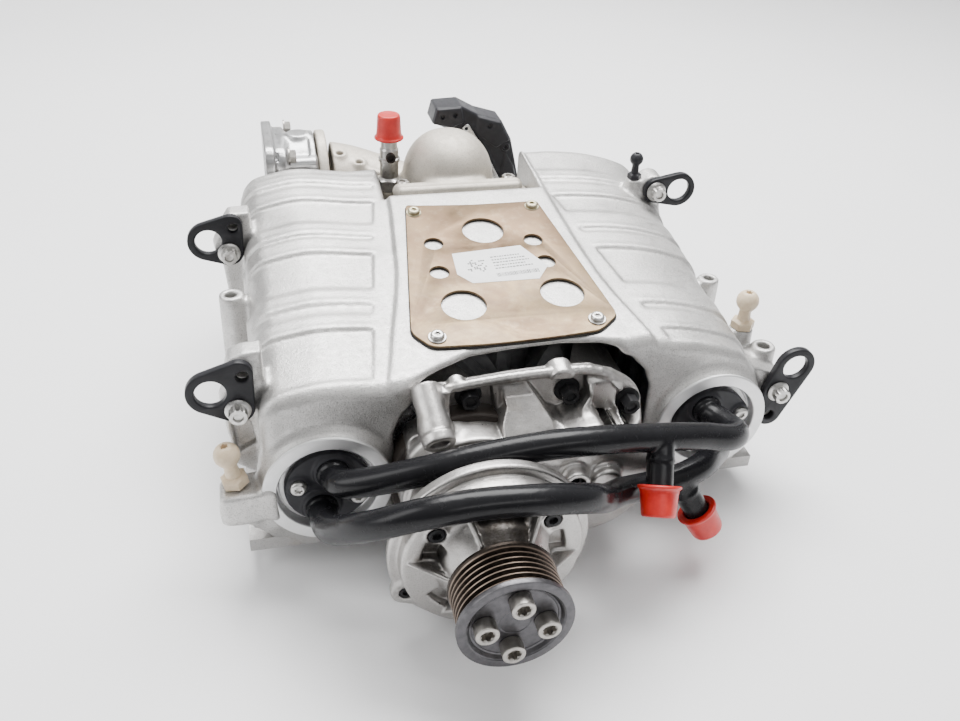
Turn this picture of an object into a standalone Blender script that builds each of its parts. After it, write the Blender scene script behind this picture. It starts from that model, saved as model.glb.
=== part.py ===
"""Roots-type supercharger module for a V6 engine: cast housing and cover, two meshing four-lobe rotors with timing
gears, snout drive with a six-rib pulley, two water-cooled charge coolers with their coolant pipes, throttle and
bypass. Dimensions are in millimetres and are scaled to metres when a mesh is made. +Z is up, the pulley faces -Y."""

import math
import bmesh
import bpy
from mathutils import Matrix, Vector

MM = 0.001

# ---------------------------------------------------------------- driving dimensions (mm)
AXIS_Z = 60.0            # height of both rotor axes over the rest face
HALF_CENTRES = 36.0      # half the distance between the rotor axes
MID_X = -2.5             # middle of the rotor pair
DRIVE_X, DRIVEN_X = MID_X - HALF_CENTRES, MID_X + HALF_CENTRES
ROTOR_LOBES = 4
ROTOR_CLEAR = 0.45       # each rotor profile is drawn in by this
ROTOR_Y0, ROTOR_Y1 = -81.5, 66.0
ROTOR_TWIST = 160.0      # degrees over the rotor's length
BORE_R = 45.5
CASE_R = 50.5
CASE_Y0, CASE_Y1 = -83.0, 74.0
GEAR_TEETH = 24
GEAR_Y0, GEAR_Y1 = -113.0, -101.0
SHAFT_R = 9.0
ROOF_Z, ROOF_SLOPE = 141.6, 0.15     # height of the plateau at y = 0, and its rise towards the rear
WALL = 5.0
RIM_Z = 22.3             # lower rim of the cover
BANK = 18.0              # the right-hand bank sits this much further back
PORT_L = (-120.0, -110.0, 62.9)      # centre of each cooler port's front face
PORT_R = (128.0, -91.4, 62.9)
PORT_BORE_R, PORT_BOSS_R, CAP_R = 31.2, 37.5, 29.6
PULLEY_Y = -225.0        # pulley's front face
PULLEY_R, CREST_R, GROOVE_DEPTH, RIB_PITCH, RIBS = 31.0, 29.1, 3.2, 3.56, 6
SNOUT_FLANGE_R, SNOUT_BACK_R = 51.0, 57.0
PIPE_R = 8.4
PLATE_T = 2.2
THROTTLE_R = 29.0
SEG = 24

for old in list(bpy.data.objects):
    bpy.data.objects.remove(old)

# ---------------------------------------------------------------- materials
MATERIALS = {
    "cast": ((0.62, 0.61, 0.60, 1), 0.85, 0.42),
    "machined": ((0.72, 0.72, 0.73, 1), 1.0, 0.25),
    "steel": ((0.55, 0.55, 0.56, 1), 1.0, 0.3),
    "black_steel": ((0.025, 0.025, 0.028, 1), 0.3, 0.45),
    "black_plastic": ((0.018, 0.018, 0.02, 1), 0.0, 0.4),
    "red_plastic": ((0.75, 0.03, 0.02, 1), 0.0, 0.35),
    "beige_plastic": ((0.62, 0.5, 0.36, 1), 0.0, 0.45),
    "passivated": ((0.5, 0.41, 0.28, 1), 0.8, 0.4),
    "pulley_dark": ((0.13, 0.125, 0.13, 1), 0.8, 0.4),
    "rotor_coat": ((0.35, 0.35, 0.36, 1), 0.7, 0.4),
    "fin": ((0.58, 0.59, 0.6, 1), 0.9, 0.4),
    "brass": ((0.7, 0.5, 0.2, 1), 1.0, 0.3),
}


def material(slot):
    found = bpy.data.materials.get(slot)
    if found:
        return found
    made = bpy.data.materials.new(slot)
    made.use_nodes = True
    shader = made.node_tree.nodes["Principled BSDF"]
    colour, metal, rough = MATERIALS[slot]
    shader.inputs["Base Color"].default_value = colour
    shader.inputs["Metallic"].default_value = metal
    shader.inputs["Roughness"].default_value = rough
    return made


# ---------------------------------------------------------------- mesh helpers
def obj_of(name, verts, faces, slot="cast"):
    mesh = bpy.data.meshes.new(name)
    mesh.from_pydata([tuple(c * MM for c in v) for v in verts], [], faces)
    mesh.validate()
    bm = bmesh.new()
    bm.from_mesh(mesh)
    bmesh.ops.remove_doubles(bm, verts=bm.verts, dist=1e-7)
    bmesh.ops.recalc_face_normals(bm, faces=bm.faces)
    if bm.calc_volume() < 0:
        bmesh.ops.reverse_faces(bm, faces=bm.faces)
    bm.to_mesh(mesh)
    bm.free()
    mesh.materials.append(material(slot))
    obj = bpy.data.objects.new(name, mesh)
    bpy.context.scene.collection.objects.link(obj)
    return obj


def frame_from(axis):
    """Rotation taking +Z to the axis."""
    return Vector((0, 0, 1)).rotation_difference(Vector(axis).normalized()).to_matrix()


def loft(name, rings, slot="cast", caps=True, closed=False):
    """Skin between rings of equal length, each a list of (x, y, z)."""
    n, verts, faces = len(rings[0]), [], []
    for ring in rings:
        verts.extend(ring)
    spans = len(rings) if closed else len(rings) - 1
    for i in range(spans):
        a, b = i * n, ((i + 1) % len(rings)) * n
        for j in range(n):
            k = (j + 1) % n
            faces.append((a + j, a + k, b + k, b + j))
    if caps and not closed:
        faces.append(tuple(range(n))[::-1])
        faces.append(tuple(range(len(verts) - n, len(verts))))
    return obj_of(name, verts, faces, slot)


def prism(name, outline, y0, y1, slot="cast"):
    """Outline of (x, z) carried from y0 to y1."""
    return loft(name, [[(x, y, z) for x, z in outline] for y in (y0, y1)], slot)


def slab(name, outline, z0, z1, slot="cast"):
    """Outline of (x, y) carried from z0 to z1."""
    return loft(name, [[(x, y, z) for x, y in outline] for z in (z0, z1)], slot)


def box(name, lo, hi, slot="cast"):
    x0, y0, z0 = lo
    x1, y1, z1 = hi
    return slab(name, [(x0, y0), (x1, y0), (x1, y1), (x0, y1)], z0, z1, slot)


def turned(name, profile, centre, axis=(0, 1, 0), segs=SEG, slot="machined", phase=0.0):
    """Solid of revolution. The profile is (radius, distance along the axis), from end to end; ends on the axis are
    closed, and a profile that closes on itself makes a ring."""
    turn = frame_from(axis)
    origin = Vector(centre)
    verts, faces, rings = [], [], []
    for r, d in profile:
        if r < 1e-6:
            rings.append([len(verts)])
            verts.append(tuple(origin + turn @ Vector((0, 0, d))))
            continue
        ring = []
        for i in range(segs):
            a = phase + 2 * math.pi * i / segs
            ring.append(len(verts))
            verts.append(tuple(origin + turn @ Vector((r * math.cos(a), r * math.sin(a), d))))
        rings.append(ring)
    closed = profile[0][0] > 1e-6 and profile[-1][0] > 1e-6
    pairs = list(zip(rings, rings[1:])) + ([(rings[-1], rings[0])] if closed else [])
    for a, b in pairs:
        if len(a) == 1 and len(b) == 1:
            continue
        for i in range(segs):
            k = (i + 1) % segs
            if len(a) == 1:
                faces.append((a[0], b[k], b[i]))
            elif len(b) == 1:
                faces.append((a[i], a[k], b[0]))
            else:
                faces.append((a[i], a[k], b[k], b[i]))
    return obj_of(name, verts, faces, slot)


def rod(name, a, b, r, segs=SEG, slot="machined", phase=0.0):
    a, b = Vector(a), Vector(b)
    return turned(name, [(0, 0), (r, 0), (r, (b - a).length), (0, (b - a).length)], a, b - a, segs, slot, phase)


def boolean(obj, others, how):
    for other in others:
        step = obj.modifiers.new("step", "BOOLEAN")
        step.operation = how
        step.solver = "EXACT"
        step.object = other
        bpy.context.view_layer.update()
        graph = bpy.context.evaluated_depsgraph_get()
        done = bpy.data.meshes.new_from_object(obj.evaluated_get(graph))
        obj.modifiers.clear()
        slots = list(obj.data.materials)
        obj.data = done
        obj.data.materials.clear()
        obj.data.materials.append(slots[0])
        obj.data.polygons.foreach_set("material_index", [0] * len(obj.data.polygons))
        bpy.data.objects.remove(other)
    bm = bmesh.new()
    bm.from_mesh(obj.data)
    bmesh.ops.remove_doubles(bm, verts=bm.verts, dist=2e-6)
    bmesh.ops.dissolve_degenerate(bm, edges=bm.edges, dist=2e-6)
    bm.to_mesh(obj.data)
    bm.free()
    return obj


def cut(obj, *others):
    return boolean(obj, others, "DIFFERENCE")


def join(obj, *others):
    return boolean(obj, others, "UNION")


def soften(obj, width, angle=40.0, segments=1):
    """Bevels the edges sharper than the angle."""
    bm = bmesh.new()
    bm.from_mesh(obj.data)
    bmesh.ops.dissolve_limit(bm, angle_limit=math.radians(1), verts=bm.verts, edges=bm.edges)
    edges = [e for e in bm.edges if len(e.link_faces) == 2 and e.calc_face_angle(0) > math.radians(angle)]
    bmesh.ops.bevel(bm, geom=edges, offset=width * MM, segments=segments, affect="EDGES", clamp_overlap=True)
    bm.to_mesh(obj.data)
    bm.free()
    return obj


def finish(obj, smooth=35.0):
    obj.data.shade_smooth()
    obj.data.set_sharp_from_angle(angle=math.radians(smooth))
    return obj


def pivot(obj, point):
    """Moves the object's origin to the point without moving its surface."""
    at = Vector(point) * MM
    obj.data.transform(Matrix.Translation(-at))
    obj.location = at
    return obj


def circle(cx, cy, r, n, phase=0.0):
    return [(cx + r * math.cos(phase + 2 * math.pi * i / n), cy + r * math.sin(phase + 2 * math.pi * i / n)) for i in range(n)]


def rounded(x0, y0, x1, y1, r, n=3):
    pts = []
    for cx, cy, a in ((x1 - r, y1 - r, 0), (x0 + r, y1 - r, 90), (x0 + r, y0 + r, 180), (x1 - r, y0 + r, 270)):
        for i in range(n + 1):
            t = math.radians(a + 90 * i / n)
            pts.append((cx + r * math.cos(t), cy + r * math.sin(t)))
    return pts


def smooth_path(points, steps=5):
    """Catmull-Rom curve through the points."""
    pts = [Vector(p) for p in points]
    ext = [2 * pts[0] - pts[1]] + pts + [2 * pts[-1] - pts[-2]]
    out = []
    for i in range(len(pts) - 1):
        a, b, c, d = ext[i:i + 4]
        for s in range(steps):
            t = s / steps
            out.append(0.5 * ((2 * b) + (c - a) * t + (2 * a - 5 * b + 4 * c - d) * t * t + (3 * b - a - 3 * c + d) * t ** 3))
    out.append(pts[-1])
    return out


def tube(name, path, r, segs=14, slot="black_plastic"):
    """Round bar along a path of vectors, with flat ends."""
    rings, side = [], None
    for i, p in enumerate(path):
        d = (path[min(i + 1, len(path) - 1)] - path[max(i - 1, 0)]).normalized()
        if side is None:
            side = d.orthogonal().normalized()
        side = (side - d * side.dot(d)).normalized()
        up = d.cross(side)
        rings.append([tuple(p + (side * math.cos(2 * math.pi * k / segs) + up * math.sin(2 * math.pi * k / segs)) * r) for k in range(segs)])
    return loft(name, rings, slot)


def roof(y):
    return ROOF_Z + ROOF_SLOPE * y


def bank(x, x0=-78.0, x1=78.0):
    """How far the wall at this x sits back because of the bank offset."""
    return BANK * min(1.0, max(0.0, (x - x0) / (x1 - x0)))


# ---------------------------------------------------------------- upper cover
def cover_section(y, inset, drop):
    """Points (x, z) across the cover, left rim over both humps to the right rim, and back under the rim."""
    p = roof(y) - inset - drop
    li = -65.0 - 0.142 * (83.0 - y)
    ri = 64.0 + 0.185 * (82.0 - y)
    c = 1.5 * min(1.0, max(0.0, (y + 50) / 90.0))
    out = [(-156, RIM_Z), (-155.9, p - 24), (-153, p - 13), (-146, p - 6), (-133, p - 1.5 + c), (-115, p + 0.5 + c),
           (-97, p - 0.5 + c), (li - 3, p - 2.2), (li + 8, p - 3.0), (li + 17, p), (0, p), (ri - 18, p), (ri - 9, p - 3.2),
           (ri + 3, p - 4.2), (106, p - 7), (121, p - 10.5), (134, p - 15), (146, p - 22), (155, p - 31), (158.9, p - 44), (159, RIM_Z)]
    if inset:
        x0, x1 = -156 + inset, 159 - inset
        out = [(x0, RIM_Z - 12)] + [(min(max(x, x0 + 0.02 * i), x1 - 0.02 * (len(out) - i)), z) for i, (x, z) in enumerate(out)][1:-1] + [(x1, RIM_Z - 12)]
    return out


def cover_body(name, inset):
    """Solid under the cover's outer or inner skin, open to nothing: its ends are closed in upright strips."""
    y0, y1 = -102.0 + inset, 132.0 - inset
    stations = ((y0, 7.0), (y0 + 5, 0.8), (-40, 0), (50, 0), (y1 - 12, 1.0), (y1, 13.0)) if not inset else ((y0, 5.0), (-40, 0), (50, 0), (y1, 10.0))
    verts, faces = [], []
    for y, drop in stations:
        top = cover_section(y, inset, drop)
        low = top[0][1]
        ring = top + [(x, low) for x, z in top[-2:0:-1]]
        verts += [(x, y + bank(x), z) for x, z in ring]
    n, m = len(top), len(ring)
    for i in range(len(stations) - 1):
        for j in range(m):
            k = (j + 1) % m
            faces.append((i * m + j, i * m + k, (i + 1) * m + k, (i + 1) * m + j))
    for base, flip in ((0, False), ((len(stations) - 1) * m, True)):
        for j in range(n - 1):
            if j == 0:
                face = (base, base + 1, base + m - 1)
            elif j == n - 2:
                face = (base + j, base + j + 1, base + m - j)
            else:
                face = (base + j, base + j + 1, base + m - j - 1, base + m - j)
            faces.append(face if flip else face[::-1])
    return obj_of(name, verts, faces)


NOTCH_X, NOTCH_Y = 56.0, 87.0
cover = cover_body("upper_cover", 0.0)
cut(cover, box("c", (-NOTCH_X, NOTCH_Y, 0), (NOTCH_X, 200, 220)))
inner = cover_body("c2", WALL)
cut(inner, box("c", (-NOTCH_X - WALL, NOTCH_Y - WALL, 0), (NOTCH_X + WALL, 200, 220)))
cut(cover, inner)
# ring bosses round the cooler ports, run back into the front walls
for px, py, pz in (PORT_L, PORT_R):
    join(cover, turned("c", [(0, 0), (PORT_BOSS_R - 1.5, 0), (PORT_BOSS_R, 2), (PORT_BOSS_R + 1.5, 13), (0, 13)], (px, py, pz)))
for px, py, pz in (PORT_L, PORT_R):
    cut(cover, turned("c", [(0, -3), (PORT_BORE_R + 1, -3), (PORT_BORE_R + 1, 0.5), (PORT_BORE_R, 2), (PORT_BORE_R, 16), (0, 16)], (px, py, pz)))
# arched front opening over the gear case
arch = [(-81, 10), (-81, 92), (-76, 106), (-66, 114), (-48, 119), (-20, 122.5), (20, 124), (55, 123), (72, 118), (82, 106), (86, 92), (86, 10)]
cut(cover, prism("c", arch, -130, -70))
# the roof's front edge is an arc that runs back over the gear case
lip = [(-76, -130), (-75.2, -105), (-64.7, -96.9), (-51.8, -89.6), (-32.4, -81.3), (-7.2, -78.4), (24.1, -77.4), (48.6, -80), (60, -83.5), (66.5, -89), (70, -108), (70, -130)]
cut(cover, slab("c", lip, 96, 150))
# side lugs for the lifting eyes, pipe clips and the front foot
join(cover, box("c", (-181, -112, 44), (-154, -92, 66)))
join(cover, box("c", (-171.5, -82.7, 60), (-153.5, -68, 120)), box("d", (-168, -82.7, 112), (-153.5, -70, 138)))
join(cover, box("c", (-171, 61.8, 96), (-153.5, 76, 146)))
join(cover, rod("c", (-166.2, 14, 58), (-166.2, 14, 125.5), 8.0, 12), box("d", (-166.2, 8.5, 58), (-154, 19.5, 121)))
join(cover, box("c", (157, -75.7, 44), (188, -62, 82.5)))
join(cover, box("c", (150, -46, 80), (176, -32, 100)))
join(cover, rod("c", (170.4, 20.8, 74), (170.4, 20.8, 104.5), 7.6, 12), box("d", (155, 15.5, 74), (170.4, 26, 101)))
join(cover, rod("c", (177.7, -54.9, 62), (177.7, -54.9, 94.2), 8.0, 12), box("d", (155, -61, 62), (177.7, -49, 90)))
join(cover, box("c", (128, 87.8, 112), (157, 104, 152)))

# ---------------------------------------------------------------- rotor housing
def figure_eight(r, waist, n=28):
    """Outline (x, z) of two circles round the rotor axes, bridged at the waist height above and below."""
    t0 = math.pi - math.asin(min(1.0, waist / r))
    right = [(DRIVEN_X + r * math.cos(a), AXIS_Z + r * math.sin(a)) for a in [-t0 + 2 * t0 * i / n for i in range(n + 1)]]
    return right + [(2 * MID_X - x, 2 * AXIS_Z - z) for x, z in right]


def inner_eight(r, n=26):
    """Outline of the two rotor bores run together."""
    half = math.acos(HALF_CENTRES / r)
    pts = []
    for i in range(n + 1):
        a = -(math.pi - half) + 2 * (math.pi - half) * i / n
        pts.append((DRIVEN_X + r * math.cos(a), AXIS_Z + r * math.sin(a)))
    for i in range(1, n):
        a = half + (2 * math.pi - 2 * half) * i / n
        pts.append((DRIVE_X + r * math.cos(a), AXIS_Z + r * math.sin(a)))
    return pts


housing = prism("rotor_housing", figure_eight(CASE_R, 40.0, 12), CASE_Y0, CASE_Y1)
floor = slab("c", [(-168, -101), (-90, -101), (-88, -82.8), (84, -82.8), (88, -83), (170, -83), (170, 149), (70, 149), (60, 92), (-60, 92), (-62, 131), (-168, 131)], 13.0, 22.0)
join(housing, floor)
join(housing, box("c", (-34, -62, 0), (34, 52, 12)))
cut(housing, prism("c", inner_eight(BORE_R, 18), CASE_Y0 - 2, CASE_Y1 - 7))
# discharge window in the roof of the case, inlet window and shaft bores in its rear wall
cut(housing, slab("c", [(-30, -80), (30, -80), (52, -30), (6, 8), (-6, 8), (-52, -30)], 78, 130))
cut(housing, prism("c", rounded(-34, 70, 34, 100, 10), CASE_Y1 - 9, CASE_Y1 + 3))
cut(housing, rod("c", (DRIVE_X, CASE_Y1 - 12, AXIS_Z), (DRIVE_X, CASE_Y1 + 3, AXIS_Z), SHAFT_R + 0.8, 14),
    rod("c", (DRIVEN_X, CASE_Y1 - 12, AXIS_Z), (DRIVEN_X, CASE_Y1 + 3, AXIS_Z), SHAFT_R + 0.8, 14))
# three air outlets to each cylinder bank
for k in range(3):
    for x0, x1, dy in ((-144, -102, 0), (104, 146, BANK)):
        y0 = -74 + 58 * k + dy
        cut(housing, slab("c", rounded(x0, y0, x1, y0 + 44, 10, 2), 8, 30))
# fixing lugs along both sides
for x, y in ((-162, -88), (-162, 20), (-162, 122), (164, -70), (164, 38), (164, 140)):
    cut(housing, rod("c", (x, y, 5), (x, y, 30), 3.6, 8))

# ---------------------------------------------------------------- bearing plate and gear cover
plate_outline = figure_eight(BORE_R + 1.2, 34.0, 10)
bearing_plate = prism("bearing_plate", plate_outline, CASE_Y0 - 12.3, CASE_Y0 - 0.3, "machined")
for s in (-1, 1):
    cut(bearing_plate, rod("c", (MID_X + s * HALF_CENTRES, CASE_Y0 - 14, AXIS_Z), (MID_X + s * HALF_CENTRES, CASE_Y0 - 6, AXIS_Z), 16.3, 18),
        rod("d", (MID_X + s * HALF_CENTRES, CASE_Y0 - 14, AXIS_Z), (MID_X + s * HALF_CENTRES, CASE_Y0 + 3, AXIS_Z), SHAFT_R + 1.0, 12))

GC_Y0, GC_Y1 = -128.0, CASE_Y0 - 12.6
BOLT_SEAT = -99.4
gc_outline = figure_eight(HALF_CENTRES + 6.2, 30.0, 11)
gear_cover = prism("gear_cover", gc_outline, GC_Y0, GC_Y1)
# two corner ears that carry the upper cover bolts
for cx, cz, r in ((-39, 108, 10), (23, 109, 11), (62, 97, 10.5), (-66, 88, 9)):
    join(gear_cover, rod("c", (cx, GC_Y0 + 19, cz), (cx, GC_Y1, cz), r, 10))
join(gear_cover, prism("c", [(-54, 92), (-54, 118), (-47, 121), (-36, 123), (-14, 125), (14, 126), (36, 125), (50, 119), (61, 108), (70, 96), (58, 66)], GC_Y0 + 24, GC_Y1))
cut(gear_cover, prism("c", inner_eight(HALF_CENTRES + 3.8, 16), GC_Y0 + 5, GC_Y1 + 3))
# recesses round the three flange bolts
for cx, cz, w, h in ((-37, 112.5, 10, 9), (23, 109.5, 10, 9)):
    cut(gear_cover, prism("c", [(cx - w, cz - h), (cx + w, cz - h), (cx + w + 2, cz + h + 4), (cx - w - 2, cz + h + 4)], GC_Y0 - 6, BOLT_SEAT - 0.3))
cut(gear_cover, rod("c", (62.5, GC_Y0 - 5, 96.5), (62.5, BOLT_SEAT - 0.3, 96.5), 9.9, 12))
# front boss in which the snout is held
join(gear_cover, turned("c", [(0, -9), (36, -9), (38, -6), (38, 6), (0, 6)], (DRIVE_X, GC_Y0, AXIS_Z)))
cut(gear_cover, rod("c", (DRIVE_X, GC_Y0 - 12, AXIS_Z), (DRIVE_X, GC_Y0 + 12, AXIS_Z), 21.5, 18))
for cx, cz in ((-37, 112.5), (23, 109), (62.5, 96.5)):
    cut(gear_cover, rod("c", (cx, GC_Y0 - 10, cz), (cx, GC_Y1 + 4, cz), 3.6, 8))
    cut(bearing_plate, rod("c", (cx, GC_Y1 - 4, cz), (cx, CASE_Y0 - 5.5, cz), 3.9, 8))
# lower right boss and column on the left
join(gear_cover, rod("c", (22, GC_Y0 - 9, 66), (22, GC_Y0 + 8, 66), 9, 10))
join(gear_cover, rod("c", (-61, -103, 120), (-59, -129, 103), 8.2, 12), box("d", (-66, -119, 97), (-54, -100, 112)))

# ---------------------------------------------------------------- snout housing
turned("snout_collar", [(33.4, -138.2), (37.6, -138.2), (38.3, -139), (38.3, -146), (37.2, -147), (37.2, -150), (38.3, -151), (38.3, -160.5), (37.6, -161.4), (33.4, -161.4)],
       (DRIVE_X, 0, AXIS_Z), segs=32, slot="black_steel")
SN_BACK = GC_Y0 - 9.3
snout = turned("snout_housing", [
    (19.5, SN_BACK), (33, SN_BACK), (33, -162), (SNOUT_BACK_R - 6, -163), (SNOUT_BACK_R, -165), (SNOUT_BACK_R, -169),
    (SNOUT_FLANGE_R + 0.5, -170), (SNOUT_FLANGE_R, -176), (SNOUT_FLANGE_R - 2, -177.5), (34, -177.5), (27.5, -182), (25.5, -193.5),
    (16.5, -193.5), (16.5, -180), (12.5, -179), (12.5, -152), (16.5, -151), (16.5, SN_BACK - 6), (19.5, SN_BACK - 5)],
    (DRIVE_X, 0, AXIS_Z), segs=24, slot="cast")
for a in (25, 70, 110, 155, 205, 335):
    ca, sa = math.cos(math.radians(a)), math.sin(math.radians(a))
    web = [(24, -176), (43, -176), (26, -191), (24, -191)]
    rings = []
    for side in (-1.8, 1.8):
        rings.append([(DRIVE_X + r * ca - side * sa, y, AXIS_Z + r * sa + side * ca) for r, y in web])
    join(snout, loft("c", rings))
for a in (48, 132, 228, 312):
    ca, sa = math.cos(math.radians(a)), math.sin(math.radians(a))
    cut(snout, rod("c", (DRIVE_X + 43.5 * ca, -179, AXIS_Z + 43.5 * sa), (DRIVE_X + 43.5 * ca, -172.5, AXIS_Z + 43.5 * sa), 4.6, 8))

# ---------------------------------------------------------------- rotors, gears, shaft, bearings, pulley
def lobe_profile(hand, turn, n_per=8):
    """Epicycloid tips and hypocycloid roots on the pitch circle, drawn in by the clearance."""
    pitch = HALF_CENTRES
    roll = pitch / (2 * ROTOR_LOBES)
    pts = []
    for lobe in range(ROTOR_LOBES):
        base = 2 * math.pi * lobe / ROTOR_LOBES
        for half in (0, 1):
            for i in range(n_per // 2):
                t = (i / (n_per // 2)) * math.pi / ROTOR_LOBES
                if half == 0:
                    k = (pitch + roll) / roll
                    x = (pitch + roll) * math.cos(t) - roll * math.cos(k * t)
                    y = (pitch + roll) * math.sin(t) - roll * math.sin(k * t)
                    a = base
                else:
                    k = (pitch - roll) / roll
                    x = (pitch - roll) * math.cos(t) + roll * math.cos(k * t)
                    y = (pitch - roll) * math.sin(t) - roll * math.sin(k * t)
                    a = base + math.pi / ROTOR_LOBES
                r, th = math.hypot(x, y) - ROTOR_CLEAR, math.atan2(y, x)
                th = hand * (th + a) + turn
                pts.append((r * math.cos(th), r * math.sin(th)))
    return pts


def rotor(name, x, hand, turn0, slices=10):
    rings = []
    for s in range(slices + 1):
        f = s / slices
        twist = hand * math.radians(ROTOR_TWIST) * f
        pts = lobe_profile(1, turn0 + twist)
        y = ROTOR_Y0 + (ROTOR_Y1 - ROTOR_Y0) * f
        rings.append([(x + px, y, AXIS_Z + pz) for px, pz in pts])
    body = loft(name, rings, "rotor_coat")
    front = rod("c", (x, GEAR_Y0 - 3, AXIS_Z), (x, ROTOR_Y0 + 6, AXIS_Z), SHAFT_R, 12)
    back = rod("c", (x, ROTOR_Y1 - 6, AXIS_Z), (x, CASE_Y1 - 0.5, AXIS_Z), SHAFT_R - 0.5, 12)
    join(body, front, back)
    return pivot(body, (x, 0, AXIS_Z))


# with a lobe of one rotor on the line of centres, a root of the other faces it
LOBE = math.pi / ROTOR_LOBES
drive_rotor = rotor("drive_rotor", DRIVE_X, 1, -LOBE / 2)
driven_rotor = rotor("driven_rotor", DRIVEN_X, -1, math.pi - LOBE / 2 + LOBE)


def gear(name, x, offset, y0, y1, bore):
    """Spur gear: pitch radius is half the centre distance, tooth flanks straight-sided with backlash."""
    module = 2 * HALF_CENTRES / GEAR_TEETH
    ra, rf = HALF_CENTRES + 0.8 * module, HALF_CENTRES - 1.15 * module
    step = 2 * math.pi / GEAR_TEETH
    pts = []
    for t in range(GEAR_TEETH):
        a = t * step + offset
        for da, r in ((-0.31, rf), (-0.13, ra), (0.13, ra), (0.31, rf)):
            pts.append((x + r * math.cos(a + da * step), AXIS_Z + r * math.sin(a + da * step)))
    body = prism(name, pts, y0, y1, "steel")
    cut(body, rod("c", (x, y0 - 2, AXIS_Z), (x, y1 + 2, AXIS_Z), bore, 14))
    return pivot(body, (x, 0, AXIS_Z))


drive_gear = gear("drive_gear", DRIVE_X, 0.0, GEAR_Y0, GEAR_Y1, SHAFT_R + 0.3)
driven_gear = gear("driven_gear", DRIVEN_X, math.pi / GEAR_TEETH, GEAR_Y0, GEAR_Y1, SHAFT_R + 0.3)


def bearing(name, x, y0, y1, r_in, r_out, segs=18):
    return turned(name, [(r_in, y0), (r_out, y0), (r_out, y1), (r_in, y1)], (x, 0, AXIS_Z), segs=segs, slot="steel")


rotor_bearing_l = bearing("rotor_bearing_left", DRIVE_X, CASE_Y0 - 12.0, CASE_Y0 - 6.4, SHAFT_R + 0.3, 16.0)
rotor_bearing_r = bearing("rotor_bearing_right", DRIVEN_X, CASE_Y0 - 12.0, CASE_Y0 - 6.4, SHAFT_R + 0.3, 16.0)
snout_bearing_f = bearing("snout_bearing_front", DRIVE_X, -192.5, -180.4, 9.3, 16.2)
snout_bearing_r = bearing("snout_bearing_rear", DRIVE_X, -150.6, -140.5, 9.3, 16.2)

shaft = turned("input_shaft", [(0, -219.4), (8.5, -219.4), (9.0, -218.9), (9.0, -133), (18, -132.5), (18, -124), (14, -123.5), (14, -116.6), (0, -116.6)],
               (DRIVE_X, 0, AXIS_Z), segs=16, slot="steel")
pivot(shaft, (DRIVE_X, 0, AXIS_Z))

py0 = PULLEY_Y
prof = [(0, py0 + 3), (23, py0 + 3), (24.2, py0), (PULLEY_R - 0.6, py0), (PULLEY_R, py0 + 0.6), (PULLEY_R, py0 + 3.2)]
y = py0 + 5.04
for k in range(RIBS):
    prof += [(CREST_R, y), (CREST_R - GROOVE_DEPTH, y + 0.5 * RIB_PITCH)]
    y += RIB_PITCH
prof += [(CREST_R, y), (CREST_R + 0.7, y + 1.2), (CREST_R + 0.7, y + 3.2), (24.5, y + 3.2), (22.5, py0 + 12), (9.3, py0 + 12), (9.3, py0 + 5.2), (0, py0 + 5.2)]
pulley = turned("pulley", prof, (DRIVE_X, 0, AXIS_Z), segs=30, slot="pulley_dark")
PULLEY_BOLTS = []
for k in range(4):
    a = math.radians(18 + 90 * k)
    bx, bz = DRIVE_X + 15 * math.cos(a), AXIS_Z + 15 * math.sin(a)
    PULLEY_BOLTS.append((bx, bz))
    cut(pulley, rod("c", (bx, py0 - 2, bz), (bx, py0 + 14, bz), 3.5, 8))
pivot(pulley, (DRIVE_X, 0, AXIS_Z))


def screw(name, at, axis, head_r, head_h, shank_r, shank_l, slot="steel", hexed=False, segs=8):
    """Fastener whose head seats at the point; the axis points out of the seat towards the head's top."""
    axis = Vector(axis).normalized()
    at = Vector(at)
    if hexed:
        body = turned(name, [(0, -shank_l), (shank_r, -shank_l), (shank_r, 0.0), (head_r * 1.25, 0.0), (head_r * 1.25, 1.6), (0, 1.6)], at, axis, 10, slot)
        join(body, turned("c", [(0, 0.6), (head_r, 0.6), (head_r, head_h), (0, head_h)], at, axis, 6))
        return body
    return turned(name, [(0, -shank_l), (shank_r, -shank_l), (shank_r, 0.0), (head_r, 0.0), (head_r, head_h), (0, head_h)], at, axis, segs, slot)


for k, (bx, bz) in enumerate(PULLEY_BOLTS):
    pivot(screw(f"pulley_bolt_{k + 1}", (bx, py0 + 2.7, bz), (0, -1, 0), 5.2, 7.8, 3.0, 12.0), (DRIVE_X, 0, AXIS_Z))

for k, (cx, cz) in enumerate(((-37, 112.5), (23, 109), (62.5, 96.5))):
    screw(f"cover_bolt_{k + 1}", (cx, BOLT_SEAT - 0.6, cz), (0, -1, 0), 6.4, 9.0, 3.2, 10.0, "black_steel", hexed=True)

# ---------------------------------------------------------------- charge coolers, end caps, port flanges
def cooler(name, px, y0, y1):
    body = box(name, (px - 22, y0, 27), (px + 22, y1, 96), "fin")
    n = 8
    for k in range(n):
        ya = y0 + 8 + (y1 - y0 - 16) * (k + 0.2) / n
        yb = y0 + 8 + (y1 - y0 - 16) * (k + 0.8) / n
        cut(body, box("c", (px - 26, ya, 32), (px - 12, yb, 91)), box("d", (px + 12, ya, 32), (px + 26, yb, 91)))
    return body


cooler_l = cooler("charge_cooler_left", -121.0, -80.0, 108.0)
cooler_r = cooler("charge_cooler_right", 124.0, -62.0, 126.0)


def end_cap(name, port, y_back):
    px, py, pz = port
    body = turned(name, [(0, 6), (CAP_R - 1, 6), (CAP_R, 7), (CAP_R, 14), (24.5, 15), (24.5, y_back - 0.4 - py), (0, y_back - 0.4 - py)], (px, py, pz), segs=24, slot="machined")
    for dz in (12, -12):
        cut(body, rod("c", (px, py, pz + dz), (px, py + 10.5, pz + dz), 7.0, 8))
    return body


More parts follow.
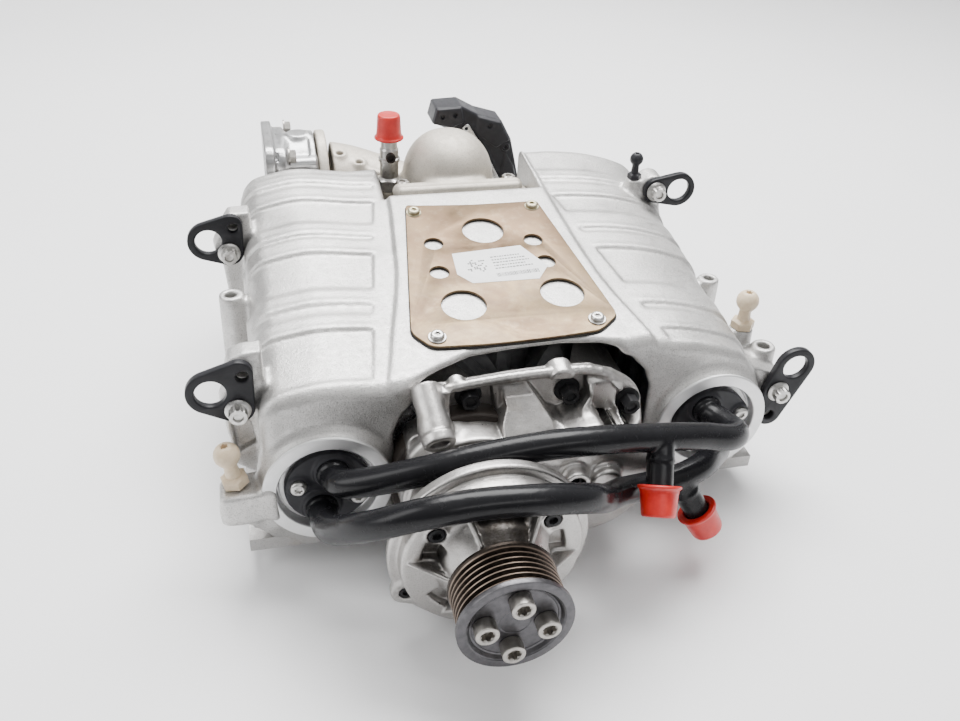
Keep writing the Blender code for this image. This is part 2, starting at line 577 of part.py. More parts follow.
cap_l = end_cap("cooler_cap_left", PORT_L, -80.0)
cap_r = end_cap("cooler_cap_right", PORT_R, -62.0)



def port_flange(name, port, screws):
    px, py, pz = port
    y1, y0 = py + 5.6, py + 1.2
    body = rod(name, (px, y0, pz), (px, y1, pz), 25.5, 24, "black_plastic")
    for sx, sz in screws:
        join(body, rod("c", (sx, y0 - 1.0, sz), (sx, y1 - 0.3, sz), 6.2, 10))
    for sx, sz in screws:
        cut(body, rod("c", (sx, y0 - 5, sz), (sx, y1 + 5, sz), 2.7, 8))
    return body


SCREWS_L = ((-137.0, 67.0), (-103.0, 56.0))
SCREWS_R = ((147.5, 68.5), (144.5, 47.5))
HOLES_L = ((-117.0, 75.5), (-124.5, 50.5))
HOLES_R = ((122.0, 76.0), (130.0, 50.0))
flange_l = port_flange("port_flange_left", PORT_L, SCREWS_L)
flange_r = port_flange("port_flange_right", PORT_R, SCREWS_R)
for flange, capped, holes, port in ((flange_l, cap_l, HOLES_L, PORT_L), (flange_r, cap_r, HOLES_R, PORT_R)):
    for hx, hz in holes:
        cut(flange, rod("c", (hx, port[1] - 5, hz), (hx, port[1] + 9, hz), PIPE_R - 1.3, 10))
for k, ((sx, sz), port) in enumerate([(s, PORT_L) for s in SCREWS_L] + [(s, PORT_R) for s in SCREWS_R]):
    cut(cap_l if port is PORT_L else cap_r, rod("c", (sx, port[1] + 4, sz), (sx, port[1] + 12.5, sz), 2.7, 8))
    screw(f"flange_screw_{k + 1}", (sx, port[1] + 0.0, sz), (0, -1, 0), 5.0, 3.6, 2.3, 11.5)

# ---------------------------------------------------------------- coolant pipes and transport caps
UPPER = [(-117, -109.7, 75.5), (-117, -113, 75.5), (-116.5, -117, 76), (-112, -126, 80), (-96, -136, 88), (-70, -145, 99), (-42, -150, 107.5), (-8, -152, 112.5),
         (27, -150, 110), (65, -143, 101), (96, -136, 92), (117, -131, 84), (128, -121, 78.5), (126, -106, 76), (122.5, -98, 76), (122, -95, 76), (122, -91.2, 76)]
LOWER = [(-124.5, -109.7, 50.5), (-124.5, -113, 50.5), (-124.5, -117, 51), (-122, -146, 66), (-104, -172, 90), (-80, -186, 107), (-50, -190, 112.5), (-18, -190, 110),
         (10, -182, 99), (28, -164, 80), (43, -151, 70.5), (61, -141, 62.5), (82, -138, 62), (104, -129, 61), (120, -114, 55), (129, -104, 51), (130, -98, 50), (130, -95, 50), (130, -91.2, 50)]
STUB_A = ((66, -144, 100), (59, -169, 70))
STUB_B = ((86, -136.5, 62), (106, -146, 28))
pipe_upper = tube("coolant_pipe_upper", smooth_path(UPPER, 2), PIPE_R, 10)
pipe_lower = tube("coolant_pipe_lower", smooth_path(LOWER, 2), PIPE_R, 10)
CAP_AXES = []
for pipe, (a, b) in ((pipe_upper, STUB_A), (pipe_lower, STUB_B)):
    a, b = Vector(a), Vector(b)
    join(pipe, rod("c", a, b, 7.8, 10, "black_plastic"))
    CAP_AXES.append((b, (b - a).normalized()))
FITTING = Vector((-46.5, 131, 0))
CAP_AXES.append((Vector((FITTING.x, FITTING.y, 192)), Vector((0, 0, 1))))


def transport_cap(name, tip, axis, r_in):
    body = turned(name, [(0, 4.2), (r_in + 2.0, 4.2), (r_in + 2.8, -12), (r_in + 3.9, -12), (r_in + 3.9, -14), (r_in, -14), (r_in, 0.6), (0, 0.6)],
                  tip, axis, 14, "red_plastic")
    return pivot(body, tip)


for k, (tip, axis) in enumerate(CAP_AXES):
    transport_cap(f"transport_cap_{k + 1}", tip, axis, 8.1 if k < 2 else 6.3)

# ---------------------------------------------------------------- damper plate and its screws
PLATE = [(-45, 68), (-38, 66.5), (0, 63.5), (40, 63.5), (48, 64), (65, -63), (50, -75.5), (20, -78), (-20, -79), (-54, -77), (-64, -63)]
Z_GAP = 0.3


def on_roof(name, outline, base, thick, slot):
    return loft(name, [[(x, y, roof(y) + z) for x, y in outline] for z in (base, base + thick)], slot)


plate = on_roof("damper_plate", PLATE, Z_GAP, PLATE_T, "passivated")
BIG_HOLES = ((1.7, 32.8), (-27.6, -42.2), (36.7, -37.8))
SMALL_HOLES = ((-34.2, 21.6), (-36.2, -8.6), (33.1, 18.6), (35.3, -5.5))
PLATE_SCREWS = ((-41.0, 58.0), (42.5, 57.0), (-49.5, -69.5), (50.5, -66.0))
for x, y in BIG_HOLES:
    cut(plate, on_roof("c", circle(x, y, 14, 18), -5, 15, "cast"))
for x, y in SMALL_HOLES:
    cut(plate, on_roof("c", circle(x, y, 6.3, 10), -5, 15, "cast"))
UP = Vector((0, -ROOF_SLOPE, 1)).normalized()
for k, (x, y) in enumerate(PLATE_SCREWS):
    top = Vector((x, y, roof(y) + Z_GAP + PLATE_T))
    cut(plate, rod("c", top - UP * 8, top + UP * 8, 2.6, 8))
    cut(cover, rod("c", top - UP * 14, top + UP * 8, 2.6, 8))
    screw(f"plate_screw_{k + 1}", top + UP * 0.3, UP, 5.2, 2.8, 2.2, 6.5)

# ---------------------------------------------------------------- lifting eyes, their bolts, ball studs


def hull(points):
    pts = sorted(set((round(x, 5), round(y, 5)) for x, y in points))

    def half(seq):
        out = []
        for p in seq:
            while len(out) > 1 and (out[-1][0] - out[-2][0]) * (p[1] - out[-2][1]) - (out[-1][1] - out[-2][1]) * (p[0] - out[-2][0]) <= 1e-6:
                out.pop()
            out.append(p)
        return out[:-1]
    return half(pts) + half(pts[::-1])


def lifting_eye(name, circles, eye, bolt, y0, y1, extra=None):
    pts = []
    for cx, cz, r in circles:
        pts += circle(cx, cz, r, 14)
    body = prism(name, hull(pts), y0, y1, "black_steel")
    cut(body, rod("c", (eye[0], y0 - 3, eye[1]), (eye[0], y1 + 3, eye[1]), 8.6, 14))
    cut(body, rod("c", (bolt[0], y0 - 3, bolt[1]), (bolt[0], y1 + 3, bolt[1]), 4.3, 8))
    if extra:
        cut(body, rod("c", (extra[0], y0 - 3, extra[1]), (extra[0], y1 + 3, extra[1]), 3.4, 8))
    return body


EYES = (
    ("lifting_eye_front_left", ((-179.5, 121.8, 13.5), (-163.5, 133, 8), (-165.8, 110, 9.5)), (-179.5, 121.8), (-165.8, 110.0), -88.0, (-161.5, 131.5)),
    ("lifting_eye_front_right", ((188, 92.3, 13.5), (177.5, 55, 8.5), (178.8, 75, 10)), (188.0, 92.3), (178.8, 74.8), -81.0, (177.0, 55.0)),
    ("lifting_eye_rear_left", ((-178, 141, 13.5), (-163, 151, 8), (-165.5, 132.5, 9.5)), (-178.0, 141.0), (-165.5, 132.5), 56.5, (-161.5, 150.0)),
    ("lifting_eye_rear_right", ((166, 146, 13.0), (148, 146, 9.5)), (166.0, 146.0), (147.5, 146.0), 82.5, None),
)
for k, (name, circles, eye, bolt, y0, extra) in enumerate(EYES):
    lifting_eye(name, circles, eye, bolt, y0, y0 + 5.0, extra)
    cut(cover, rod("c", (bolt[0], y0 - 3, bolt[1]), (bolt[0], y0 + 17, bolt[1]), 4.0, 8))
    screw(f"eye_bolt_{k + 1}", (bolt[0], y0 - 0.3, bolt[1]), (0, -1, 0), 6.2, 8.0, 3.6, 15.0)


def ball_stud(name, base, tip_dir, length, r_ball, slot):
    d = Vector(tip_dir).normalized()
    b = Vector(base)
    turn = frame_from(d)
    n = 4
    prof = [(0, 0), (r_ball * 1.05, 0), (r_ball * 1.05, 5), (r_ball * 0.62, 6), (r_ball * 0.55, length - r_ball * 0.84)]
    for i in range(n):
        t = math.radians(-50 + 140 * (i + 1) / n)
        prof.append((max(0.0, r_ball * math.cos(t)) if i < n - 1 else 0.0, length + r_ball * math.sin(t) if i < n - 1 else length + r_ball))
    return turned(name, prof, b, d, 10, slot)


ball_stud("ball_stud_left", (-171.5, -100, 67.6), (-0.14, 0.0, 1.0), 21.0, 7.5, "beige_plastic")
ball_stud("ball_stud_right", (168.0, -39, 100.3), (0.0, 0.0, 1.0), 20.0, 7.5, "beige_plastic")
ball_stud("ball_stud_rear", (134.0, 95.5, 152.3), (0.0, 0.0, 1.0), 15.0, 5.0, "black_plastic")

# ---------------------------------------------------------------- inlet elbow, throttle, bypass
DOME = (-2.0, 132.0)
THR_Y, THR_Z = 169.0, 134.0
BYP_Y, BYP_Z, BYP_X = 114.0, 122.0, 45.0
elbow = turned("inlet_elbow", [(0, 34), (33, 34), (34.8, 140), (33.5, 154), (30, 164), (23, 173), (13, 179), (0, 181.5)], (DOME[0], DOME[1], 0), (0, 0, 1), 20, "cast")
DUCT = [(-4, 140, 113), (-30, 156, 116), (-54, 165, 122), (-75, 168.5, 128.5), (-90, 169, 132)]
join(elbow, tube("c", smooth_path(DUCT, 2), 29.0, 16))
join(elbow, rod("c", (-97, THR_Y, THR_Z), (-89, THR_Y, THR_Z), 36.0, 20))
join(elbow, box("c", (-50, CASE_Y1 + 0.3, 34), (48, 134, 110)))
join(elbow, box("c", (-47.5, NOTCH_Y + 0.3, 100), (44, 99, roof(92) + 1.2)))
join(elbow, rod("c", (FITTING.x, FITTING.y, 112), (FITTING.x, FITTING.y, 139), 9.5, 14))
join(elbow, rod("c", (20, BYP_Y, BYP_Z), (NOTCH_X - 0.4, BYP_Y, BYP_Z), 19, 14))
cut(elbow, turned("c", [(0, 40), (29.5, 40), (30, 146), (27, 157), (18, 168), (0, 174)], (DOME[0], DOME[1], 0), (0, 0, 1), 16))
cut(elbow, tube("c", smooth_path(DUCT, 2), 24.5, 14))
cut(elbow, rod("c", (-99, THR_Y, THR_Z), (-86, THR_Y, THR_Z), 28.5, 20))
cut(elbow, prism("c", rounded(-36, 68, 36, 102, 10), CASE_Y1 - 3, 120))
cut(elbow, rod("c", (10, BYP_Y, BYP_Z), (NOTCH_X + 3, BYP_Y, BYP_Z), 15, 16))
cut(elbow, rod("c", (BYP_X, 92, BYP_Z), (BYP_X, 140, BYP_Z), 3.1, 8))
# openings in the cover for the elbow's foot and the bypass
cut(cover, box("c", (-52, 70, 15), (51, 100, 112)))
cut(cover, rod("c", (NOTCH_X - 3, BYP_Y, BYP_Z), (NOTCH_X + WALL + 5, BYP_Y, BYP_Z), 15, 16))

throttle = loft("throttle_body", [[(x, THR_Y + a, THR_Z + b) for a, b in rounded(-36, -37, 36, 37, 11, 3)] for x in (-136, -120)], "cast")
join(throttle, rod("c", (-122, THR_Y, THR_Z), (-98.4, THR_Y, THR_Z), 34.5, 20))
join(throttle, box("c", (-119, THR_Y - 20, THR_Z - 48), (-99.5, THR_Y + 32, THR_Z - 26)))
cut(throttle, rod("c", (-140, THR_Y, THR_Z), (-94, THR_Y, THR_Z), THROTTLE_R, 28))
cut(throttle, rod("c", (-110, THR_Y, THR_Z - 42), (-110, THR_Y, THR_Z + 36.0), 4.6, 10))
throttle_plate = rod("throttle_plate", (-111.2, THR_Y, THR_Z), (-108.8, THR_Y, THR_Z), THROTTLE_R - 0.7, 28, "machined")
join(throttle_plate, rod("c", (-110, THR_Y, THR_Z - 40), (-110, THR_Y, THR_Z + 34.5), 4.0, 10))
pivot(throttle_plate, (-110, THR_Y, THR_Z))

flap = rod("bypass_flap", (BYP_X - 1, BYP_Y, BYP_Z), (BYP_X + 1, BYP_Y, BYP_Z), 14.3, 16, "machined")
join(flap, rod("c", (BYP_X, 96, BYP_Z), (BYP_X, 171.5, BYP_Z), 2.6, 8))
pivot(flap, (BYP_X, BYP_Y, BYP_Z))
motor = prism("bypass_actuator", [(-6, 172), (-3, 183.5), (17, 184.5), (31, 177), (50, 171.5), (58.5, 156), (64.5, 132), (69, 112), (62, 103), (37, 107), (36, 128), (24, 158)], 171, 197, "black_plastic")
join(motor, box("c", (50, 176, 88), (68, 192, 106)))
cut(motor, rod("c", (BYP_X, 168, BYP_Z), (BYP_X, 179, BYP_Z), 3.1, 8))
soften(motor, 2.0, 50)

turned("rear_fitting", [(0, 139.4), (9.0, 139.4), (9.0, 147), (7.0, 148), (7.0, 170), (6.0, 172), (6.0, 192), (0, 192)], (FITTING.x, FITTING.y, 0), (0, 0, 1), 12, "machined")

for obj in bpy.data.objects:
    finish(obj)
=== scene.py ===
"""Looks of the supercharger: detailed castings, machined faces, pipes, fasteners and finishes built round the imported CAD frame.
Lengths below are millimetres in the CAD frame and become metres when a mesh is made."""

import itertools
import math

import bmesh
import bpy
import numpy as np
from mathutils import Matrix, Vector


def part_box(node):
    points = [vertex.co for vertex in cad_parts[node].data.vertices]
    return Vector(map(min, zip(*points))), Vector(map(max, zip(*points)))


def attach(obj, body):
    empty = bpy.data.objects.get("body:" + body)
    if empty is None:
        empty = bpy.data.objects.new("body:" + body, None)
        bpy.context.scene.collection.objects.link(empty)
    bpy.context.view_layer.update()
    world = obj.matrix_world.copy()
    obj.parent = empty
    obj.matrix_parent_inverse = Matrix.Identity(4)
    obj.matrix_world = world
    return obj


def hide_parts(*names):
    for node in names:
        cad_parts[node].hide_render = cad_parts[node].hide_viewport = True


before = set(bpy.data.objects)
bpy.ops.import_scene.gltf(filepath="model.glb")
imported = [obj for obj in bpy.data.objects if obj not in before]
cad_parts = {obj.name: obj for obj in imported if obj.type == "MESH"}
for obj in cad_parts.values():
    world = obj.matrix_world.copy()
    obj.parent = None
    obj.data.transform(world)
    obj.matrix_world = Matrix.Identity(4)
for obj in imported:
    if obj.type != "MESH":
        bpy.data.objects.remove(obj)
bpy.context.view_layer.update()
MM = 0.001
F32 = np.float32

# ------------------------------------------------------------------ camera, where the photograph was taken from
cam_data = bpy.data.cameras.new("camera")
cam_data.sensor_width, cam_data.lens = 36.0, 35.526
cam_data.clip_start, cam_data.clip_end = 0.02, 30.0
camera = bpy.data.objects.new("camera", cam_data)
bpy.context.scene.collection.objects.link(camera)
R_, U_, F_ = Vector((0.97200, -0.23079, 0.04412)), Vector((0.09467, 0.55653, 0.82540)), Vector((0.21505, 0.79812, -0.56280))
camera.matrix_world = Matrix(((R_.x, U_.x, -F_.x, -0.14567), (R_.y, U_.y, -F_.y, -0.52498), (R_.z, U_.z, -F_.z, 0.43558), (0, 0, 0, 1)))
bpy.context.scene.camera = camera


# ------------------------------------------------------------------ materials
class Nodes:
    """Small helper that wires a node material."""

    def __init__(self, name):
        self.mat = bpy.data.materials.new(name)
        self.mat.use_nodes = True
        self.tree = self.mat.node_tree
        self.bsdf = self.tree.nodes["Principled BSDF"]
        coord = self.tree.nodes.new("ShaderNodeTexCoord")
        self.at = coord.outputs["Object"]

    def link(self, a, b):
        self.tree.links.new(a, b)

    def set(self, **values):
        for k, v in values.items():
            self.bsdf.inputs[k.replace("_", " ")].default_value = v
        return self

    def scaled(self, sx, sy, sz):
        m = self.tree.nodes.new("ShaderNodeMapping")
        m.inputs["Scale"].default_value = (sx, sy, sz)
        self.link(self.at, m.inputs["Vector"])
        return m.outputs[0]

    def noise(self, scale, detail=3.0, rough=0.55, distort=0.0, vector=None):
        n = self.tree.nodes.new("ShaderNodeTexNoise")
        n.inputs["Scale"].default_value = scale
        n.inputs["Detail"].default_value = detail
        n.inputs["Roughness"].default_value = rough
        n.inputs["Distortion"].default_value = distort
        self.link(vector or self.at, n.inputs["Vector"])
        return n.outputs["Fac"]

    def ramp(self, fac, *stops):
        r = self.tree.nodes.new("ShaderNodeValToRGB")
        el = r.color_ramp.elements
        while len(el) < len(stops):
            el.new(0.5)
        for e, (p, c) in zip(el, stops):
            e.position = p
            e.color = (c, c, c, 1) if isinstance(c, (int, float)) else (*c, 1)
        self.link(fac, r.inputs[0])
        return r.outputs[0]

    def span(self, fac, lo, hi, a=0.3, b=0.7):
        m = self.tree.nodes.new("ShaderNodeMapRange")
        for k, v in (("From Min", a), ("From Max", b), ("To Min", lo), ("To Max", hi)):
            m.inputs[k].default_value = v
        self.link(fac, m.inputs["Value"])
        return m.outputs[0]

    def math(self, op, a, b=None, c=None):
        m = self.tree.nodes.new("ShaderNodeMath")
        m.operation = op
        for i, v in enumerate((a, b, c)):
            if v is None:
                continue
            if isinstance(v, (int, float)):
                m.inputs[i].default_value = v
            else:
                self.link(v, m.inputs[i])
        return m.outputs[0]

    def mix(self, fac, a, b, how="MIX"):
        m = self.tree.nodes.new("ShaderNodeMix")
        m.data_type, m.blend_type = "RGBA", how
        for sock, v in ((m.inputs[0], fac), (m.inputs[6], a), (m.inputs[7], b)):
            if isinstance(v, (int, float)):
                sock.default_value = v
            elif isinstance(v, tuple):
                sock.default_value = (*v, 1)
            else:
                self.link(v, sock)
        return m.outputs[2]

    def bump(self, *layers):
        """Each layer is (height, strength, distance in mm)."""
        last = None
        for height, strength, dist in layers:
            b = self.tree.nodes.new("ShaderNodeBump")
            b.inputs["Strength"].default_value = strength
            b.inputs["Distance"].default_value = dist * MM
            self.link(height, b.inputs["Height"])
            if last is not None:
                self.link(last, b.inputs["Normal"])
            last = b.outputs[0]
        self.link(last, self.bsdf.inputs["Normal"])
        return self

    def colour(self, sock):
        self.link(sock, self.bsdf.inputs["Base Color"])
        return self

    def roughness(self, sock):
        self.link(sock, self.bsdf.inputs["Roughness"])
        return self

    def axis_radius(self, cx, cz):
        """Distance in mm from the line along Y through (cx, cz) mm."""
        sep = self.tree.nodes.new("ShaderNodeSeparateXYZ")
        self.link(self.at, sep.inputs[0])
        dx = self.math("SUBTRACT", sep.outputs[0], cx * MM)
        dz = self.math("SUBTRACT", sep.outputs[2], cz * MM)
        r2 = self.math("ADD", self.math("MULTIPLY", dx, dx), self.math("MULTIPLY", dz, dz))
        return self.math("MULTIPLY", self.math("SQRT", r2), 1000.0), sep


def cast_metal(name, tone=(0.63, 0.62, 0.61), grain=1.0, stain=0.0, rough=(0.40, 0.56), pocket=None):
    m = Nodes(name)
    m.set(Metallic=0.92)
    m.bsdf.inputs["Specular IOR Level"].default_value = 0.5
    broad, mid, fine = m.noise(26, 3), m.noise(240, 4, 0.6), m.noise(1250, 2, 0.7)
    dark = tuple(c * 0.78 for c in tone)
    light = tuple(min(1.0, c * 1.10) for c in tone)
    col = m.ramp(broad, (0.30, dark), (0.5, tone), (0.72, light))
    col = m.mix(m.span(mid, 0.0, 0.30), col, tuple(c * 0.80 for c in tone))
    col = m.mix(m.span(fine, 0.0, 0.42 * grain, 0.50, 0.72), col, tuple(c * 0.45 for c in tone))
    if stain:
        spots = m.noise(60, 5, 0.7, 0.6)
        col = m.mix(m.span(spots, 0.0, stain, 0.55, 0.72), col, (0.30, 0.25, 0.20))
    if pocket:
        # painted shade: the casting is darkened between the top webs and in the left pocket of the neck, where shadow
        # falls
        sep = m.tree.nodes.new("ShaderNodeSeparateXYZ")
        m.link(m.at, sep.inputs[0])
        dx = m.math("SUBTRACT", sep.outputs[0], pocket[0])
        dz = m.math("SUBTRACT", sep.outputs[2], pocket[1])
        r2 = m.math("ADD", m.math("MULTIPLY", dx, dx), m.math("MULTIPLY", dz, dz))
        near = m.span(r2, 1.0, 0.0, 0.040 ** 2, 0.0445 ** 2)
        top = m.math("MULTIPLY", m.span(m.math("ABSOLUTE", m.math("SUBTRACT", m.math("DIVIDE", dx, m.math("MAXIMUM", dz, 0.001)), 0.11)), 1.0, 0.0, 0.50, 0.58), m.span(dz, 0.0, 1.0, 0.018, 0.022))
        left = m.math("MULTIPLY", m.span(m.math("DIVIDE", dz, m.math("MINIMUM", dx, -0.001)), 0.0, 1.0, -0.62, -0.50), m.span(dx, 1.0, 0.0, -0.030, -0.026))
        left = m.math("MULTIPLY", left, m.span(dz, 0.0, 1.0, 0.002, 0.006))
        pocket_shade = m.math("MULTIPLY", near, m.math("MAXIMUM", top, m.math("MULTIPLY", left, 0.85)))
        pocket_shade = m.math("MULTIPLY", pocket_shade, m.span(mid, 0.78, 1.0))
        # mix the painted pocket shade into the colour
        col = m.mix(pocket_shade, col, (0.030, 0.024, 0.019))
    m.colour(col)
    m.roughness(m.math("ADD", m.span(mid, rough[0], rough[1]), m.span(broad, -0.03, 0.03)))
    m.bump((m.noise(420, 3, 0.6), 0.34 * grain, 0.32), (fine, 0.5 * grain, 0.18))
    return m.mat


def machined_metal(name, centre=None, tone=(0.80, 0.80, 0.80), rough=(0.20, 0.34)):
    """Turned or faced metal. With a centre, the cutter's fine rings run round it."""
    m = Nodes(name)
    m.set(Metallic=1.0)
    n = m.noise(300, 3)
    m.colour(m.mix(m.span(m.noise(40, 3), 0, 0.5), tone, tuple(c * 0.82 for c in tone)))
    m.roughness(m.span(n, rough[0], rough[1]))
    if centre:
        r, _ = m.axis_radius(*centre)
        rings = m.math("SINE", m.math("MULTIPLY", r, 9.0))
        m.bump((rings, 0.05, 0.04), (m.noise(900, 2), 0.03, 0.04))
    else:
        m.bump((m.noise(1.0, 2, 0.5, 0, m.scaled(300, 2500, 300)), 0.12, 0.08))
    return m.mat


def plated_steel(name, tone=(0.60, 0.59, 0.57), rough=(0.26, 0.44)):
    m = Nodes(name)
    m.set(Metallic=1.0)
    m.colour(m.mix(m.span(m.noise(420, 3), 0, 0.7), tone, tuple(c * 0.66 for c in tone)))
    m.roughness(m.span(m.noise(700, 2), rough[0], rough[1]))
    m.bump((m.noise(1600, 2), 0.10, 0.08))
    return m.mat


def black_coat(name, tone=(0.013, 0.013, 0.015), rough=(0.30, 0.46), grain=0.25, dusty=0.12):
    m = Nodes(name)
    m.set(Metallic=0.0)
    m.bsdf.inputs["Specular IOR Level"].default_value = 0.20
    dust = m.noise(900, 4, 0.75)
    col = m.mix(m.span(m.noise(90, 4, 0.65), 0, 0.6), tone, tuple(min(1, c * 1.7 + 0.002) for c in tone))
    col = m.mix(m.span(dust, 0.0, dusty, 0.62, 0.80), col, (0.16, 0.15, 0.145))
    m.colour(col)
    m.roughness(m.span(m.noise(160, 4, 0.7), rough[0], rough[1]))
    m.bump((m.noise(650, 3), grain, 0.10), (m.noise(90, 2), 0.10, 0.3))
    return m.mat


CAST = cast_metal("cast_skin", (0.57, 0.56, 0.545), grain=1.9)
CAST_LOW = cast_metal("cast_low", (0.50, 0.49, 0.48), grain=1.2, stain=0.35)
CAST_GEAR = cast_metal("cast_gear_cover", (0.50, 0.485, 0.47), grain=1.1, stain=0.34, rough=(0.28, 0.44))
# the snout casting carries painted shade between its top webs and in the left pocket
CAST_SNOUT = cast_metal("cast_snout", (0.47, 0.455, 0.44), grain=1.2, stain=0.36, rough=(0.28, 0.44), pocket=(-0.0385, 0.060))
CAST_DOME = cast_metal("cast_dome", (0.60, 0.56, 0.495), grain=1.3, stain=0.22, rough=(0.60, 0.72))
CAST_REAR = cast_metal("cast_throttle", (0.44, 0.44, 0.44), grain=0.8, stain=0.30, rough=(0.26, 0.42))
MACHINED = machined_metal("faced")
MACHINED_L = machined_metal("faced_left", (-120, 62.9), rough=(0.46, 0.58))
MACHINED_R = machined_metal("faced_right", (128, 62.9), rough=(0.46, 0.58))
STEEL = plated_steel("plated")
STEEL_DULL = plated_steel("plated_dull", (0.44, 0.42, 0.39), (0.34, 0.5))
BLACK_COAT = black_coat("e_coat")
BLACK_BOLT = black_coat("black_bolt", (0.012, 0.012, 0.013), (0.28, 0.42))
BLACK_PIPE = black_coat("pipe_plastic", (0.006, 0.006, 0.007), (0.22, 0.29), 0.02, 0.015)
BLACK_MOULD = black_coat("moulded_plastic", (0.022, 0.022, 0.025), (0.32, 0.46), 0.2)
YELLOW_HEAD = plated_steel("plated_olive", (0.52, 0.47, 0.33), (0.34, 0.5))
GASKET = black_coat("gasket", (0.012, 0.011, 0.010), (0.5, 0.65), 0.3)
DARK = black_coat("cavity_dark", (0.026, 0.021, 0.018), (0.40, 0.55), 0.2)


def red_plastic():
    m = Nodes("red_cap")
    m.set(Metallic=0.0)
    m.bsdf.inputs["Subsurface Weight"].default_value = 0.25
    m.bsdf.inputs["Subsurface Radius"].default_value = (0.004, 0.0006, 0.0004)
    m.bsdf.inputs["Coat Weight"].default_value = 0.15
    m.bsdf.inputs["Coat Roughness"].default_value = 0.25
    col = m.mix(m.span(m.noise(120, 3, 0.6), 0, 1.0), (0.50, 0.008, 0.005), (0.66, 0.022, 0.014))
    m.colour(m.mix(m.span(m.noise(500, 4, 0.7), 0, 0.25, 0.58, 0.75), col, (0.70, 0.07, 0.05)))
    m.roughness(m.span(m.noise(220, 3), 0.30, 0.46))
    m.bump((m.noise(260, 2), 0.12, 0.25), (m.noise(1200, 2), 0.06, 0.08))
    return m.mat


def beige_plastic():
    m = Nodes("beige_stud")
    m.bsdf.inputs["Subsurface Weight"].default_value = 0.12
    m.bsdf.inputs["Subsurface Radius"].default_value = (0.002, 0.0014, 0.0008)
    m.colour(m.mix(m.span(m.noise(300, 4, 0.6), 0, 1), (0.60, 0.47, 0.32), (0.70, 0.58, 0.42)))
    m.roughness(m.span(m.noise(400, 3), 0.36, 0.5))
    m.bump((m.noise(900, 2), 0.1, 0.1))
    return m.mat


def passivated():
    m = Nodes("yellow_passivated")
    m.set(Metallic=0.90)
    broad = m.noise(17, 5, 0.62, 1.1)
    cloud = m.noise(42, 5, 0.65, 0.8)
    col = m.ramp(broad, (0.30, (0.120, 0.080, 0.049)), (0.43, (0.170, 0.115, 0.070)), (0.52, (0.232, 0.170, 0.099)), (0.60, (0.205, 0.149, 0.094)), (0.74, (0.282, 0.219, 0.140)))
    col = m.mix(m.span(cloud, 0.0, 0.55, 0.46, 0.70), col, (0.210, 0.149, 0.114))
    sep = m.tree.nodes.new("ShaderNodeSeparateXYZ")
    m.link(m.at, sep.inputs[0])
    upper = m.math("MULTIPLY", m.span(m.math("ADD", sep.outputs[1], m.math("MULTIPLY", broad, 0.05)), 0.0, 1.0, -0.005, 0.05), 0.65)
    col = m.mix(upper, col, m.mix(m.span(cloud, 0, 1), (0.152, 0.096, 0.055), (0.197, 0.129, 0.080)))
    col = m.mix(m.span(m.noise(150, 4, 0.7), 0.0, 0.35, 0.5, 0.72), col, (0.321, 0.261, 0.184))
    col = m.mix(m.span(m.noise(1500, 2), 0.0, 0.25, 0.5, 0.7), col, (0.134, 0.098, 0.060))
    m.colour(col)
    m.roughness(m.span(cloud, 0.34, 0.56))
    m.bump((m.noise(1300, 2), 0.14, 0.08), (m.noise(200, 3), 0.08, 0.2))
    return m.mat


def pulley_metal():
    m = Nodes("pulley_coat")
    r, sep = m.axis_radius(-38.5, 60)
    # painted highlight: a thin lighter band along the crest of each rib
    crest = m.ramp(m.math("DIVIDE", r, 40.0), (0.7215, 0.0), (0.7255, 1.0), (0.7300, 1.0), (0.7330, 0.0))
    face = m.mix(m.span(m.noise(300, 4, 0.6), 0, 1), (0.070, 0.068, 0.072), (0.105, 0.102, 0.108))
    front = m.math("LESS_THAN", sep.outputs[1], -0.2209)
    groove = m.mix(m.span(m.noise(500, 3), 0, 1), (0.022, 0.017, 0.014), (0.050, 0.038, 0.030))
    col = m.mix(crest, groove, (0.22, 0.17, 0.135))
    col = m.mix(front, col, face)
    m.colour(col)
    m.set(Metallic=0.85)
    m.roughness(m.span(m.noise(500, 3), 0.30, 0.44))
    m.bump((m.math("SINE", m.math("MULTIPLY", r, 14.0)), 0.05, 0.03), (m.noise(1200, 2), 0.08, 0.06))
    return m.mat


def label_paper():
    m = Nodes("label_blank")
    m.colour(m.mix(m.span(m.noise(200, 3), 0, 1), (0.80, 0.80, 0.80), (0.88, 0.88, 0.87)))
    m.roughness(m.span(m.noise(600, 2), 0.42, 0.55))
    return m.mat


def print_grey():
    m = Nodes("label_marks")
    m.colour(m.mix(m.span(m.noise(700, 3), 0, 1), (0.056, 0.056, 0.056), (0.105, 0.105, 0.105)))
    m.roughness(m.span(m.noise(600, 2), 0.45, 0.6))
    return m.mat


def fins():
    m = Nodes("fin_stack")
    m.set(Metallic=0.9)
    m.colour(m.mix(m.span(m.noise(60, 3), 0, 1), (0.50, 0.51, 0.52), (0.62, 0.62, 0.63)))
    w = m.tree.nodes.new("ShaderNodeTexWave")
    w.inputs["Scale"].default_value = 420
    w.bands_direction = "Z"
    m.link(m.at, w.inputs["Vector"])
    m.roughness(m.span(m.noise(300, 2), 0.35, 0.5))
    m.bump((w.outputs["Fac"], 0.5, 0.3))
    return m.mat


def rotor_coat():
    m = Nodes("rotor_film")
    m.set(Metallic=0.6)
    m.colour(m.mix(m.span(m.noise(80, 4), 0, 1), (0.20, 0.20, 0.21), (0.34, 0.34, 0.35)))
    m.roughness(m.span(m.noise(250, 3), 0.32, 0.5))
    m.bump((m.noise(900, 2), 0.12, 0.08))
    return m.mat


RED, BEIGE, YELLOW, PULLEY_M, PAPER, PRINT, FIN, ROTOR = red_plastic(), beige_plastic(), passivated(), pulley_metal(), label_paper(), print_grey(), fins(), rotor_coat()


